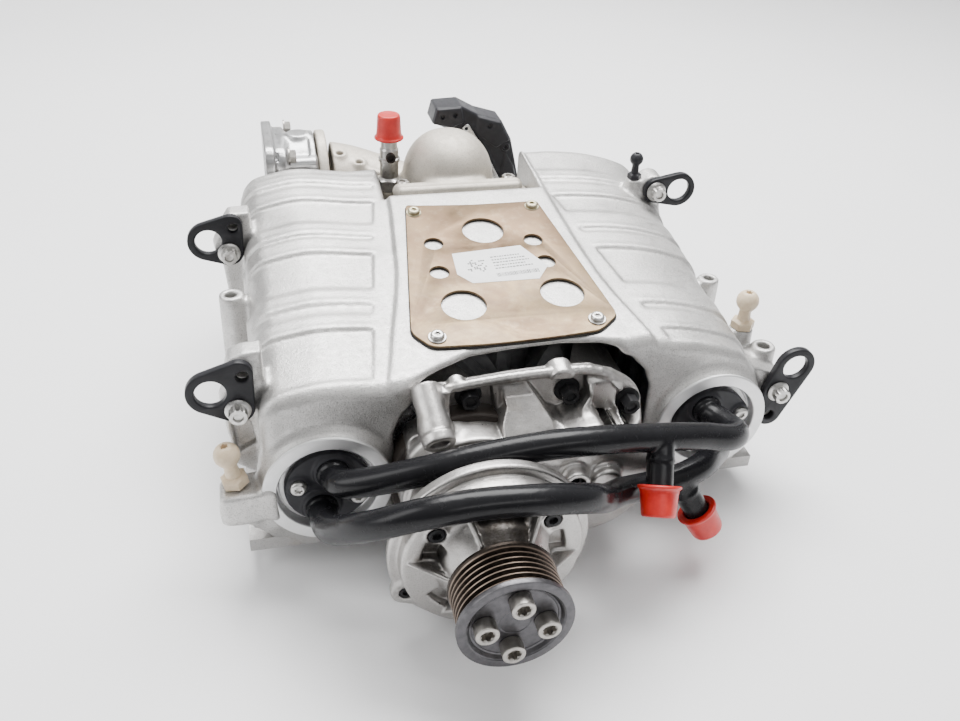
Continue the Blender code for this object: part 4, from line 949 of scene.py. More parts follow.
# ------------------------------------------------------------------ gear cover
def gear_case():
    g = Field((-84, -142, 6), (84, -94, 131), 0.8)
    yb = -95.8
    for cx in (DRIVE_X, DRIVEN_X):
        g.add(s_rod((cx, yb, AXIS_Z), (cx, -127.5, AXIS_Z), 42.4, 41.4, 2.0), 8)
    top = [(-54, 90), (-54, 118), (-47, 121), (-36, 123), (-14, 125), (14, 126), (36, 125), (50, 119), (61, 108), (70, 96), (58, 60), (0, 40), (-50, 60)]
    g.add(s_slab("y", top, -103.6, yb, 1.6), 1.5)
    # flat plate beside the left window, and the broad column that stands in front of its edge
    g.add(s_slab("y", [(-63, 92), (-63, 120), (-54, 121.5), (-48.5, 121), (-45.5, 96)], -107.0, yb, 1.0), 1.2)
    g.add(s_rod((-62.6, -99.0, 120.6), (-59.4, -129.5, 103.4), 8.6, 8.2, 0.9), 1.6)
    g.add(s_capsule((-60.5, -119, 104), (-52, -112, 96), 8.0, 8.5), 6.0)
    g.add(s_rod((-59.9, -125, 106), (-59.3, -130.6, 103), 9.6, 9.4, 0.9), 1.2)
    g.add(s_rod((-66, -112, 88), (-66, yb, 88), 9, 9, 1), 5)
    # round dome face on the right
    g.add(s_rod((41, yb, 88), (41, -112, 88), 33.0, 27.5, 4.0), 3)
    # ramp that falls from the top bar to the snout boss, between the two windows
    g.add(s_slab("x", [(-96, 60), (-96, 122), (-104, 122.4), (-108, 114), (-126.5, 99), (-126.5, 60)], -21.5, 9.0, 1.6), 2.0)
    g.add(s_slab("x", [(-96, 60), (-96, 116), (-106, 112), (-124, 92), (-126, 60)], 6.0, 34.0, 2.5), 3.5)
    # snout boss and small bosses
    g.add(s_rod((DRIVE_X, -122, AXIS_Z), (DRIVE_X, -136.8, AXIS_Z), 38.0, 36.4, 1.2), 2.5)
    g.add(s_rod((22, -112, 66), (22, -136.8, 66), 9.2, 8.4, 0.8), 3.5)
    g.add(s_capsule((22, -124, 66), (-8, -124, 72), 6.0, 8.0), 4)
    g.add(s_rod((42, -120, 62), (42, -134.5, 62), 10.5, 9.5, 1.4), 3)
    g.add(s_rod((16.5, -107, 121.5), (16.5, yb, 124.0), 7.4, 8.0, 1.2), 1.2)
    g.add(s_rod((-44, -102, 120), (-44, yb, 121), 5.0, 5.4, 1.0), 1.5)
    # windows and pockets
    g.cut(s_slab("y", [(-48.8, 103.2), (-49.2, 119.6), (-24.5, 120.2), (-21.8, 103.2)], -140, -99.0, 0.4), 0.5)
    g.cut(s_slab("y", [(-27.5, 112), (-24.6, 120.2), (-19.5, 121.0), (-17.0, 110), (-21.5, 103.2)], -140, -105.5, 0.5), 1.0)
    g.cut(s_slab("y", [(-4.5, 122.0), (32.5, 121.5), (33.5, 110), (27, 101), (17, 97.5), (10, 101)], -140, -99.0, 0.6), 1.0)
    g.cut(s_slab("y", fillet_outline([(52.5, 88), (52.5, 112), (60, 114), (75, 108), (75, 88)], 6), -140, -99.0, 0.6), 1.0)
    # shallow sweep that leaves the bar standing proud above the dome face
    g.cut(s_slab("y", [(35, 104), (36, 119.5), (47, 116), (55, 108), (50, 96), (40, 97)], -140, -106.5, 1.0), 2.0)
    g.cut(s_capsule((-9, -124, 119), (4, -131, 104), 11.0, 7.0), 3.0)
    g.cut(s_rod((22, -140, 66), (22, -128, 66), 5.2), 0.5)
    g.cut(s_rod((-59.2, -133, 101.7), (-60.1, -124, 106.8), 5.4), 0.5)
    g.cut(s_rod((DRIVE_X, -140, AXIS_Z), (DRIVE_X, -115, AXIS_Z), 21.5), 0.6)
    # hollow for the gears
    for cx in (DRIVE_X, DRIVEN_X):
        g.cut(s_rod((cx, -90, AXIS_Z), (cx, -123, AXIS_Z), 38.2))
    # thick bar along the top edge
    bar = curve_points([(-50, -102.5, 120.2), (-36, -103, 122.4), (-14, -103, 124.3), (14, -103, 125.0), (34, -103, 124.0), (46, -103, 119.0), (53, -103, 113.5)], 5)
    for p, q in zip(bar[:-1], bar[1:]):
        g.add(s_capsule(p, q, 2.9), 0.8)
    o = surface(g, "gear_case_casting", CAST_GEAR)
    return own(thin_out(o, 170000), "housing", "gear_cover", slot="cast")


COLLAR_NODE = ["snout_collar"] if bpy.data.objects.get("snout_collar") else []
gear_case()
# dark plate and shell seen through the left window
window_shell = lathe("window_shell", soft_profile([(38.6, -96.5), (46.4, -96.5), (46.4, -110), (45.4, -111), (38.6, -111), (38.6, -96.5)], 0.8), (DRIVE_X, 0, AXIS_Z), (0, 1, 0), DARK, 96)
own(window_shell, "housing")
collar = [(33.4, -138.2)]
for k in range(6):
    y = -138.4 - 3.8 * k
    collar += [(37.2, y), (38.2, y - 0.6), (38.2, y - 2.6), (37.2, y - 3.2), (36.6, y - 3.5)]
collar += [(36.4, -161.4), (33.4, -161.4), (33.4, -138.2)]
own(lathe("collar_turned", collar, (DRIVE_X, 0, AXIS_Z), (0, 1, 0), DARK, 96), "housing", *COLLAR_NODE, slot="black_steel" if COLLAR_NODE else None)
for k, (bx, bz) in enumerate(((-37, 112.5), (23, 109), (62.5, 96.5))):
    flange_bolt(f"black_flange_bolt_{k + 1}", (bx, -99.0, bz), (0, -1, 0), 8.0, 4.9, 9.2, BLACK_BOLT, f"cover_bolt_{k + 1}", "black_steel")
own(lathe("boss_bolt", soft_profile([(0, -129), (4.9, -129), (4.9, -132.5), (2.6, -132.5), (2.6, -130.2), (0, -130.2)], 0.4), (22, 0, 66), (0, 1, 0), BLACK_BOLT, 32), "housing")


# ------------------------------------------------------------------ snout
def snout():
    g = Field((-98, -196, -0.5), (21, -136.9, 119.5), 0.8)
    c = lambda y: (DRIVE_X, y, AXIS_Z)
    g.add(s_rod(c(-137.4), c(-166), 33.5, 35.0, 0.5))
    g.add(s_rod(c(-161.8), c(-169.2), 56.6, 57.0, 1.6), 4)
    g.add(s_rod(c(-167), c(-177.4), 51.3, 50.6, 1.4), 1.0)
    g.add(s_rod(c(-176), c(-193.4), 34.0, 25.4, 0.8), 2.0)
    # small lug at the lower left of the ring
    g.add(s_rod((-84.5, -163, 33.5), (-84.5, -169.4, 33.5), 9.0, 9.0, 1.2), 3)
    # pockets sunk into the disc between the webs
    for a, half in ((85, 24), (162, 9), (10, 10), (235, 24), (342, 9)):
        lo_r, hi_r = 30.5, (42.0 if half > 20 else 40.0)
        pts = []
        for t in np.linspace(a - half, a + half, 7):
            pts.append((DRIVE_X + hi_r * math.cos(math.radians(t)), AXIS_Z + hi_r * math.sin(math.radians(t))))
        for t in np.linspace(a + half, a - half, 5):
            pts.append((DRIVE_X + lo_r * math.cos(math.radians(t)), AXIS_Z + lo_r * math.sin(math.radians(t))))
        g.cut(s_slab("y", pts, -200, -171.5 if half > 20 else -172.5, 0.6), 1.2)
    g.add(s_rod(c(-164), c(-193.4), 31.5, 25.4, 0.6), 1.5)
    for t in (77, 93):
        ct, st = math.cos(math.radians(t)), math.sin(math.radians(t))
        g.add(s_rod((DRIVE_X + 37 * ct, -168, AXIS_Z + 37 * st), (DRIVE_X + 37 * ct, -175.5, AXIS_Z + 37 * st), 3.6, 3.2, 0.5), 1.0)
    for a in (55, 115, 175, 235, 295, 355):
        ca, sa = math.cos(math.radians(a)), math.sin(math.radians(a))
        root, tip = (DRIVE_X + 27.2 * ca, -191.8, AXIS_Z + 27.2 * sa), (DRIVE_X + 46.5 * ca, -177.0, AXIS_Z + 46.5 * sa)
        for q in np.linspace(0, 1, 5):
            # a thin wall: the crest line carried back towards the disc
            p1 = (root[0], root[1] + q * 14, root[2])
            p2 = (tip[0], tip[1] + q * 1.6, tip[2])
            g.add(s_capsule(p1, p2, 1.35, 1.25), 0.5)
    for a in (35, 145, 265):
        ca, sa = math.cos(math.radians(a)), math.sin(math.radians(a))
        g.add(s_rod((DRIVE_X + 38.6 * ca, -176, AXIS_Z + 38.6 * sa), (DRIVE_X + 38.6 * ca, -178.0, AXIS_Z + 38.6 * sa), 6.4, 6.2, 0.5), 1.0)
        g.cut(s_rod((DRIVE_X + 38.6 * ca, -183, AXIS_Z + 38.6 * sa), (DRIVE_X + 38.6 * ca, -172.8, AXIS_Z + 38.6 * sa), 5.0), 0.5)
    g.cut(s_rod((-84.5, -172, 33.5), (-84.5, -160, 33.5), 4.4), 0.4)
    g.cut(s_rod(c(-136), c(-200), 16.5))
    o = surface(g, "snout_casting", CAST_SNOUT)
    own(thin_out(o, 150000), "housing", "snout_housing", slot="cast")
    for k, a in enumerate((35, 145, 265)):
        ca, sa = math.cos(math.radians(a)), math.sin(math.radians(a))
        rings = soft_profile([(0, 0), (4.5, 0), (4.5, 5.2), (2.6, 5.2)], 0.5) + [(hexed(2.3), 4.9), (hexed(2.2), 2.6), (0, 2.4)]
        own(lathe(f"snout_screw_{k + 1}", rings, (DRIVE_X + 38.6 * ca, -173.0, AXIS_Z + 38.6 * sa), (0, -1, 0), BLACK_BOLT), "housing")
    own(lathe("lug_plug", soft_profile([(0, 0), (4.2, 0), (4.2, 5.0), (2.4, 5.0), (2.2, 3.0), (0, 3.0)], 0.4), (-84.5, -164.5, 33.5), (0, -1, 0), BLACK_BOLT, 32), "housing")


snout()


# ------------------------------------------------------------------ pulley
PULLEY_HEAD = -222.25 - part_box("pulley_bolt_1")[0][1] / MM


def pulley_piece():
    y0, r, crest, deep, pitch = -225.0, 31.0, 29.1, 3.2, 3.56
    front = [(0, y0 + 3), (8, y0 + 3), (8.4, y0 + 2.7), (22.6, y0 + 2.7), (22.9, y0 + 2.4), (23.9, y0 + 2.2), (25.4, y0 + 0.5), (25.9, y0 + 0.3), (26.2, y0), (r - 0.7, y0), (r - 0.2, y0 + 0.2), (r, y0 + 0.7), (r, y0 + 3.0), (r - 0.3, y0 + 3.5)]
    rows, y = list(front), y0 + 5.04
    rows.append((crest - 0.2, y - 0.9))
    for k in range(6):
        rows += [(crest - 0.05, y - 0.42), (crest + 0.1, y), (crest - 0.05, y + 0.42), (crest - deep + 0.35, y + 0.5 * pitch - 0.32), (crest - deep, y + 0.5 * pitch), (crest - deep + 0.35, y + 0.5 * pitch + 0.32)]
        y += pitch
    rows += [(crest - 0.05, y - 0.42), (crest + 0.1, y), (crest + 0.7, y + 1.2), (crest + 0.7, y + 2.9), (crest + 0.3, y + 3.2), (24.5, y + 3.2), (22.5, y0 + 12), (9.3, y0 + 12), (9.3, y0 + 5.2), (0, y0 + 5.2)]
    o = lathe("ribbed_pulley", rows, (DRIVE_X, 0, AXIS_Z), (0, 1, 0), PULLEY_M, 128, 24)
    own(o, "drive_train", "pulley", slot="pulley_dark")
    for k in range(4):
        a = math.radians(-5 + 90 * k)
        cap_screw(f"pulley_screw_{k + 1}", (DRIVE_X + 16.2 * math.cos(a), -222.25, AXIS_Z + 16.2 * math.sin(a)), (0, -1, 0), 6.2, PULLEY_HEAD, STEEL_DULL, f"pulley_bolt_{k + 1}", "drive_train")


pulley_piece()


# ------------------------------------------------------------------ coolant pipes, port flanges and caps
UPPER = [(-117, -109.7, 75.5), (-117, -113, 75.5), (-116.5, -117, 76), (-112, -126, 80), (-96, -136, 88), (-70, -145, 99), (-42, -150, 107.5), (-8, -152, 112.5),
         (27, -150, 110), (65, -143, 101), (96, -136, 92), (117, -131, 84), (128, -121, 78.5), (126, -106, 76), (122.5, -98, 76), (122, -95, 76), (122, -91.2, 76)]
LOWER = [(-124.5, -109.7, 50.5), (-124.5, -113, 50.5), (-124.5, -117, 51), (-122, -146, 66), (-104, -172, 90), (-80, -186, 107), (-50, -190, 112.5), (-18, -190, 110),
         (10, -182, 99), (28, -164, 80), (43, -151, 70.5), (61, -141, 62.5), (82, -138, 62), (104, -129, 61), (120, -114, 55), (129, -104, 51), (130, -98, 50), (130, -95, 50), (130, -91.2, 50)]
STUB_A = ((66, -144, 100), (59, -169, 70))
STUB_B = ((86, -136.5, 62), (106, -146, 28))


def pipe(name, node, route, stub, lo, hi):
    g = Field(lo, hi, 1.0)
    pts = curve_points(route, 2.2)
    for p, q in zip(pts[:-1], pts[1:]):
        g.add(s_capsule(p, q, 8.25))
    g.add(s_rod(stub[0], stub[1], 7.9, 7.7, 0.6), 0.9)
    # moulded collars where the pipe enters each port
    for ends in (pts[:6], pts[-6:][::-1]):
        a = np.array(ends[0])
        b = a + np.array([0, -4.4, 0])
        g.add(s_rod(a, b, 9.8, 9.6, 0.9), 0.8)
    # weld bead of the stub
    a, b = np.array(stub[0], float), np.array(stub[1], float)
    d = (b - a) / np.linalg.norm(b - a)
    g.add(s_rod(a + d * 10.5, a + d * 12.6, 8.5, 8.5, 0.8), 0.5)
    o = surface(g, name, BLACK_PIPE, 2)
    return own(thin_out(o, 120000), "housing", node, slot="black_plastic")


pipe("pipe_upper_moulded", "coolant_pipe_upper", UPPER, STUB_A, (-132, -181, 60), (142, -90, 125))
pipe("pipe_lower_moulded", "coolant_pipe_lower", LOWER, STUB_B, (-140, -202, 20), (143, -90, 125))
for k, (a, b) in enumerate((STUB_A, STUB_B)):
    a, b = Vector(a), Vector(b)
    d = (b - a).normalized()
    rings = soft_profile([(0, 4.1), (9.3, 4.1), (9.9, 2.6), (10.9, -9.5), (11.4, -11.3), (12.6, -12.2), (12.6, -13.4), (11.7, -13.9), (8.15, -13.9), (8.15, 0.7), (0, 0.7)], 1.3, 4)
    own(lathe(f"red_cap_{k + 1}", rings, tuple(b), tuple(d), RED, 64, 40), f"cap_{k + 1}", f"transport_cap_{k + 1}", slot="red_plastic")

SCREWS_L, SCREWS_R = ((-137.0, 67.0), (-103.0, 56.0)), ((147.5, 68.5), (144.5, 47.5))
HOLES_L, HOLES_R = ((-117.0, 75.5), (-124.5, 50.5)), ((122.0, 76.0), (130.0, 50.0))


def port(side, centre, screws, holes, ring_mat):
    px, py, pz = centre
    # faced ring on the boss
    rings = soft_profile([(29.2, 5.9), (29.2, 0.1), (29.9, -0.75), (37.0, -0.75), (37.7, -0.1), (37.7, 1.2), (31.0, 1.4), (31.0, 5.9), (29.2, 5.9)], 0.2)
    own(lathe(f"faced_ring_{side}", rings, (px, py, pz), (0, 1, 0), ring_mat, 128), "housing")
    # cooler cap in the bottom of the bore
    rings = soft_profile([(0, 6.05), (21.5, 6.05), (22.2, 6.6), (27.6, 6.6), (28.4, 6.0), (29.4, 6.2), (29.5, 14), (24.4, 15), (24.4, 24), (0, 24)], 0.4)
    own(lathe(f"cooler_end_{side}", rings, (px, py, pz), (0, 1, 0), ring_mat, 96), "housing", f"cooler_cap_{side}", slot="machined")
    g = Field((px - 33, py - 3.4, pz - 33), (px + 33, py + 6.4, pz + 33), 0.55)
    g.add(s_rod((px, py + 5.5, pz), (px, py + 1.2, pz), 25.4, 25.0, 0.7))
    for sx, sz in screws:
        g.add(s_rod((sx, py + 5.2, sz), (sx, py + 0.3, sz), 6.4, 6.2, 0.6), 2.4)
    for hx, hz in holes:
        g.add(s_rod((hx, py + 5, hz), (hx, py - 0.8, hz), 11.6, 11.0, 0.8), 1.6)
        g.cut(s_rod((hx, py - 5, hz), (hx, py + 9, hz), 7.0), 0.3)
    # ribs that stiffen the flange
    (ax, az), (bx, bz) = holes
    g.add(s_capsule((ax, py + 1.3, az), (bx, py + 1.3, bz), 1.7), 1.6)
    (ax, az), (bx, bz) = screws
    g.add(s_capsule((ax, py + 1.4, az), (px, py + 1.6, pz), 1.7), 1.6)
    g.add(s_capsule((bx, py + 1.4, bz), (px, py + 1.6, pz), 1.7), 1.6)
    for sx, sz in screws:
        g.cut(s_rod((sx, py - 5, sz), (sx, py + 9, sz), 2.7), 0.2)
    o = surface(g, f"port_cover_{side}", BLACK_MOULD)
    own(thin_out(o, 90000), "housing", f"port_flange_{side}", slot="black_plastic")


port("left", PORT_L, SCREWS_L, HOLES_L, MACHINED_L)
port("right", PORT_R, SCREWS_R, HOLES_R, MACHINED_R)
for k, ((sx, sz), pt) in enumerate([(s, PORT_L) for s in SCREWS_L] + [(s, PORT_R) for s in SCREWS_R]):
    pan_screw(f"port_screw_{k + 1}", (sx, pt[1] + 0.2, sz), (0, -1, 0), 4.9, 3.4, STEEL, node=f"flange_screw_{k + 1}")


# ------------------------------------------------------------------ damper plate, gasket, label and screws
def ring_of(cx, cy, r, n=56):
    return [(cx + r * math.cos(2 * math.pi * i / n), cy + r * math.sin(2 * math.pi * i / n)) for i in range(n)]


def sheet(name, outline, holes, base, thick, edge, mat, place):
    """Flat plate with holes and softened edges; place(x, y, w) gives the point at height w above the seat."""
    cu = bpy.data.curves.new(name, "CURVE")
    cu.dimensions, cu.fill_mode = "2D", "BOTH"
    cu.extrude, cu.bevel_depth, cu.bevel_resolution = thick / 2 - edge, edge, 2
    for k, ring in enumerate([outline] + holes):
        inset = edge if k == 0 else -edge
        sp = cu.splines.new("POLY")
        arr = np.array(ring)
        nxt, prv = np.roll(arr, -1, 0), np.roll(arr, 1, 0)
        tan = nxt - prv
        nor = np.stack([-tan[:, 1], tan[:, 0]], 1) / np.linalg.norm(tan, axis=1)[:, None]
        area2 = float(np.sum(arr[:, 0] * nxt[:, 1] - nxt[:, 0] * arr[:, 1]))
        arr = arr + nor * inset * (1 if area2 > 0 else -1)
        sp.points.add(len(arr) - 1)
        for p, (x, y) in zip(sp.points, arr):
            p.co = (x, y, 0, 1)
        sp.use_cyclic_u = True
    tmp = bpy.data.objects.new(name + "_tmp", cu)
    bpy.context.scene.collection.objects.link(tmp)
    bpy.context.view_layer.update()
    mesh = bpy.data.meshes.new_from_object(tmp.evaluated_get(bpy.context.evaluated_depsgraph_get()))
    bpy.data.objects.remove(tmp)
    bpy.data.curves.remove(cu)
    bm = bmesh.new()
    bm.from_mesh(mesh)
    bmesh.ops.remove_doubles(bm, verts=bm.verts, dist=0.002)
    bmesh.ops.recalc_face_normals(bm, faces=bm.faces)
    bm.to_mesh(mesh)
    bm.free()
    for v in mesh.vertices:
        x, y, z = place(v.co.x, v.co.y, v.co.z + base + thick / 2)
        v.co = (x * MM, y * MM, z * MM)
    for p in mesh.polygons:
        p.use_smooth = True
    mesh.set_sharp_from_angle(angle=math.radians(40))
    mesh.materials.clear()
    mesh.materials.append(mat)
    o = bpy.data.objects.new(name, mesh)
    bpy.context.scene.collection.objects.link(o)
    return o


on_roof = lambda x, y, w: (x, y, roof(y) + w)
PLATE = [(-45, 68), (-38, 66.5), (0, 63.5), (40, 63.5), (48, 64), (65, -63), (50, -75.5), (20, -78), (-20, -79), (-54, -77), (-64, -63)]
BIG = ((1.7, 32.8), (-27.6, -42.2), (36.7, -37.8))
SMALL = ((-34.2, 21.6), (-36.2, -8.6), (33.1, 18.6), (35.3, -5.5))
PLATE_SCREWS = ((-41.0, 58.0), (42.5, 57.0), (-49.5, -69.5), (50.5, -66.0))
edge_pts = fillet_outline(PLATE, [4, 8, 10, 8, 4, 5, 5, 12, 12, 5, 5])
holes = [ring_of(x, y, 14) for x, y in BIG] + [ring_of(x, y, 6.3, 36) for x, y in SMALL]
own(sheet("passivated_plate", edge_pts, holes, 0.95, 1.55, 0.3, YELLOW, on_roof), "housing", "damper_plate", slot="passivated")
mid = np.mean(np.array(edge_pts), 0)
gasket_pts = [tuple(mid + (np.array(p) - mid) * (1 + 0.7 / max(1.0, float(np.linalg.norm(np.array(p) - mid))))) for p in edge_pts]
gasket_holes = [ring_of(x, y, 14.3) for x, y in BIG] + [ring_of(x, y, 6.6, 36) for x, y in SMALL]
own(sheet("plate_gasket", gasket_pts, gasket_holes, 0.12, 0.8, 0.12, GASKET, on_roof), "housing")
UP = Vector((0, -0.15, 1)).normalized()
for k, (x, y) in enumerate(PLATE_SCREWS):
    at = Vector((x, y, roof(y) + 2.5))
    pan_screw(f"plate_head_{k + 1}", tuple(at), tuple(UP), 4.3, 2.6, STEEL if k > 1 else YELLOW_HEAD, 0.40, (5.6, 0.9) if k > 1 else (5.2, 0.5), node=f"plate_screw_{k + 1}", deep=1.3)
label_at = lambda x, y, w: (x, y, roof(y) + 2.5 + w)
own(sheet("plate_label", [(-24.5, 9.0), (22.5, 13.0), (35.0, -10.5), (26.0, -23.0), (-17.5, -22.5), (-25.5, -12.5)][::-1], [], 0.03, 0.16, 0.05, PAPER, label_at), "housing")


def label_marks():
    """Plain bars and dots of print: no letters."""
    co, faces = [], []

    def bar(x0, y0, x1, y1):
        n = len(co)
        for x, y in ((x0, y0), (x1, y0), (x1, y1), (x0, y1)):
            a = 0.07
            q = (x * math.cos(a) - y * math.sin(a), x * math.sin(a) + y * math.cos(a))
            co.append(label_at(q[0] + 3, q[1] - 5, 0.215))
        faces.append((n, n + 1, n + 2, n + 3))
    rnd = 7
    for i in range(9):
        for j in range(9):
            rnd = (rnd * 73 + 41) % 997
            if rnd % 5 < 2:
                bar(-21 + i * 1.5, -6.0 + j * 1.5, -21 + i * 1.5 + 1.2, -6.0 + j * 1.5 + 1.2)
    for r, (a, b) in enumerate(((-3, 16), (-3, 19), (-3, 21), (-3, 18), (-3, 22))):
        x, y = a, 7.0 - r * 3.0
        while x < b:
            rnd = (rnd * 73 + 41) % 997
            w = 0.8 + (rnd % 4) * 0.35
            bar(x, y, x + w, y + 1.1)
            x += w + 0.55
    x = -4
    while x < 24:
        rnd = (rnd * 73 + 41) % 997
        w = 0.28 + (rnd % 3) * 0.2
        bar(x, -13.0, x + w, -9.2)
        x += w + 0.45
    own(poly_mesh("label_bars", co, faces, PRINT), "housing")


label_marks()


# ------------------------------------------------------------------ lifting eyes, eye bolts, ball studs
def hull_of(points):
    pts = sorted(set((round(x, 4), round(y, 4)) for x, y in points))

    def half(seq):
        out = []
        for p in seq:
            while len(out) > 1 and (out[-1][0] - out[-2][0]) * (p[1] - out[-2][1]) - (out[-1][1] - out[-2][1]) * (p[0] - out[-2][0]) <= 1e-6:
                out.pop()
            out.append(p)
        return out[:-1]
    return half(pts) + half(pts[::-1])


EYES = (
    ("lifting_eye_front_left", ((-179.5, 121.8, 13.5), (-163.5, 133, 8), (-165.8, 110, 9.5)), (-179.5, 121.8), (-165.8, 110.0), -88.0, (-161.5, 131.5)),
    ("lifting_eye_front_right", ((188, 92.3, 13.5), (177.5, 55, 8.5), (178.8, 75, 10)), (188.0, 92.3), (178.8, 74.8), -81.0, (177.0, 55.0)),
    ("lifting_eye_rear_left", ((-178, 141, 13.5), (-163, 151, 8), (-165.5, 132.5, 9.5)), (-178.0, 141.0), (-165.5, 132.5), 56.5, (-161.5, 150.0)),
    ("lifting_eye_rear_right", ((166, 146, 13.0), (148, 146, 9.5)), (166.0, 146.0), (147.5, 146.0), 82.5, None),
)
for k, (node, circles, eye, bolt, y0, extra) in enumerate(EYES):
    pts = hull_of([p for cx, cz, r in circles for p in ring_of(cx, cz, r, 72)])
    hs = [ring_of(eye[0], eye[1], 8.6), ring_of(bolt[0], bolt[1], 4.3, 32)]
    if extra:
        hs.append(ring_of(extra[0], extra[1], 3.4, 28))
    o = sheet(f"eye_plate_{k + 1}", pts, hs, 0, 5.0, 0.9, BLACK_COAT, lambda x, z, w, y0=y0: (x, y0 + w, z))
    own(o, "housing", node, slot="black_steel")
    flange_bolt(f"eye_flange_bolt_{k + 1}", (bolt[0], y0 - 0.15, bolt[1]), (0, -1, 0), 7.4, 4.7, 7.8, STEEL, f"eye_bolt_{k + 1}", "steel", 0.58, 2.0, 12)


def stud(name, node, base, tip, length, r, mat, slot):
    rings = [(0, 0), (hexed(r * 0.93), 0), (hexed(r * 0.93), r * 0.62), (r * 0.86, r * 0.72), (r * 0.60, r * 0.80), (r * 0.52, length - r * 1.15), (r * 0.58, length - r * 0.86)]
    for i in range(1, 11):
        t = math.radians(-52 + (52 + 62) * i / 10)
        rings.append((r * math.cos(t), length + r * math.sin(t)))
    top = length + r * math.sin(math.radians(62))
    rings += [(r * 0.36, top + 0.05), (star(r * 0.28), top - 0.3), (star(r * 0.27), top - 2.4), (0, top - 2.6)]
    own(lathe(name, rings, base, tip, mat, 48, 35), "housing", node, slot=slot)


stud("ball_left_moulded", "ball_stud_left", (-171.5, -100, 67.6), (-0.14, 0, 1), 21.0, 7.5, BEIGE, "beige_plastic")
stud("ball_right_moulded", "ball_stud_right", (168, -39, 100.3), (0, 0, 1), 20.0, 7.5, BEIGE, "beige_plastic")
stud("ball_rear_moulded", "ball_stud_rear", (134, 95.5, 152.3), (0, 0, 1), 15.0, 5.0, BLACK_MOULD, "black_plastic")


# ------------------------------------------------------------------ inlet elbow, throttle, actuator and fitting
THR_Y, THR_Z = 169.0, 134.0
DUCT = [(-4, 140, 113), (-30, 156, 116), (-54, 165, 122), (-75, 168.5, 128.5), (-90, 169, 132)]


def s_beehive(cx, cy, z0, zc, r, h, p):
    """Upright round drum with a full, rounded top."""
    def f(x, y, z):
        rho = np.sqrt((x - F32(cx)) ** 2 + (y - F32(cy)) ** 2)
        q = ((rho / F32(r)) ** F32(p) + (np.maximum(z - F32(zc), 0) / F32(h)) ** F32(p)) ** F32(1.0 / p)
        return np.maximum((q - 1) * F32(r), F32(z0) - z)
    return f, np.array([cx - r, cy - r, z0]), np.array([cx + r, cy + r, zc + h])


def elbow():
    g = Field((-99, 85.5, 32), (59, 201, 184), 1.3)
    g.add(s_beehive(-2, 132, 34, 140, 34.6, 41.0, 2.3))
    pts = curve_points(DUCT, 3)
    for p, q in zip(pts[:-1], pts[1:]):
        g.add(s_capsule(p, q, 28.8), 0.5)
    g.add(s_rod((-97, THR_Y, THR_Z), (-89.5, THR_Y, THR_Z), 36.0, 36.0, 1.2), 3)
    g.add(s_box((-49, 87.4, 36), (47, 128, 109), 5.0), 9)
    # foot flange that lies along the rear edge of the cover, with its rolled lip
    g.add(s_box((-46.8, 87.4, 101), (43.5, 98.6, 156.2), 2.6), 5)
    g.add(s_capsule((-45, 91.0, 155.0), (42, 91.0, 155.0), 1.9), 1.2)
    g.add(s_capsule((-44, 100, 150), (42, 100, 149), 5.0, 6.0), 5)
    g.add(s_rod((20, 114, 122), (55.8, 114, 122), 19, 19, 1.2), 6)
    g.add(s_rod((-46.5, 131, 108), (-46.5, 131, 139), 9.8, 9.2, 1.0), 5)
    # ribs and bosses on the duct
    g.add(s_rod((-66, 152, 132), (-66, 152, 152.5), 5.2, 4.6, 0.8), 3)
    g.add(s_rod((-80, 158, 138), (-80, 158, 157.5), 5.0, 4.4, 0.8), 3)
    g.add(s_capsule((-34, 138, 142), (-66, 151, 147), 3.2, 2.6), 4)
    g.cut(s_rod((-66, 152, 146), (-66, 152, 156), 2.6), 0.3)
    g.cut(s_rod((-80, 158, 150), (-80, 158, 160), 2.6), 0.3)
    # inside
    inside = [(-2, 132, 44), (-2, 132, 150)]
    g.cut(s_rod(inside[0], inside[1], 29.6), 1)
    g.cut(s_ball((-4, 132, 150), 24.0), 3)
    for p, q in zip(pts[:-1], pts[1:]):
        g.cut(s_capsule(p, q, 24.5), 0.5)
    g.cut(s_rod((-100, THR_Y, THR_Z), (-86, THR_Y, THR_Z), 28.5), 0.5)
    g.cut(s_box((-36, 70, 68), (36, 120, 102), 8), 1)
    g.cut(s_rod((10, 114, 122), (60, 114, 122), 15), 0.6)
    o = surface(g, "inlet_elbow_casting", CAST_DOME)
    own(thin_out(o, 170000), "housing", "inlet_elbow", slot="cast")
    for k, (x, z) in enumerate(((-41, 143), (38, 143))):
        own(lathe(f"foot_screw_{k + 1}", [(0, 0), (5.0, 0), (5.0, 0.8), (hexed(4.2), 0.9), (hexed(4.2), 4.2), (3.8, 4.6), (2.3, 4.6), (2.0, 3.4), (0, 3.2)], (x, 104, 151.5), (0, 0, 1), STEEL_DULL), "housing")


elbow()


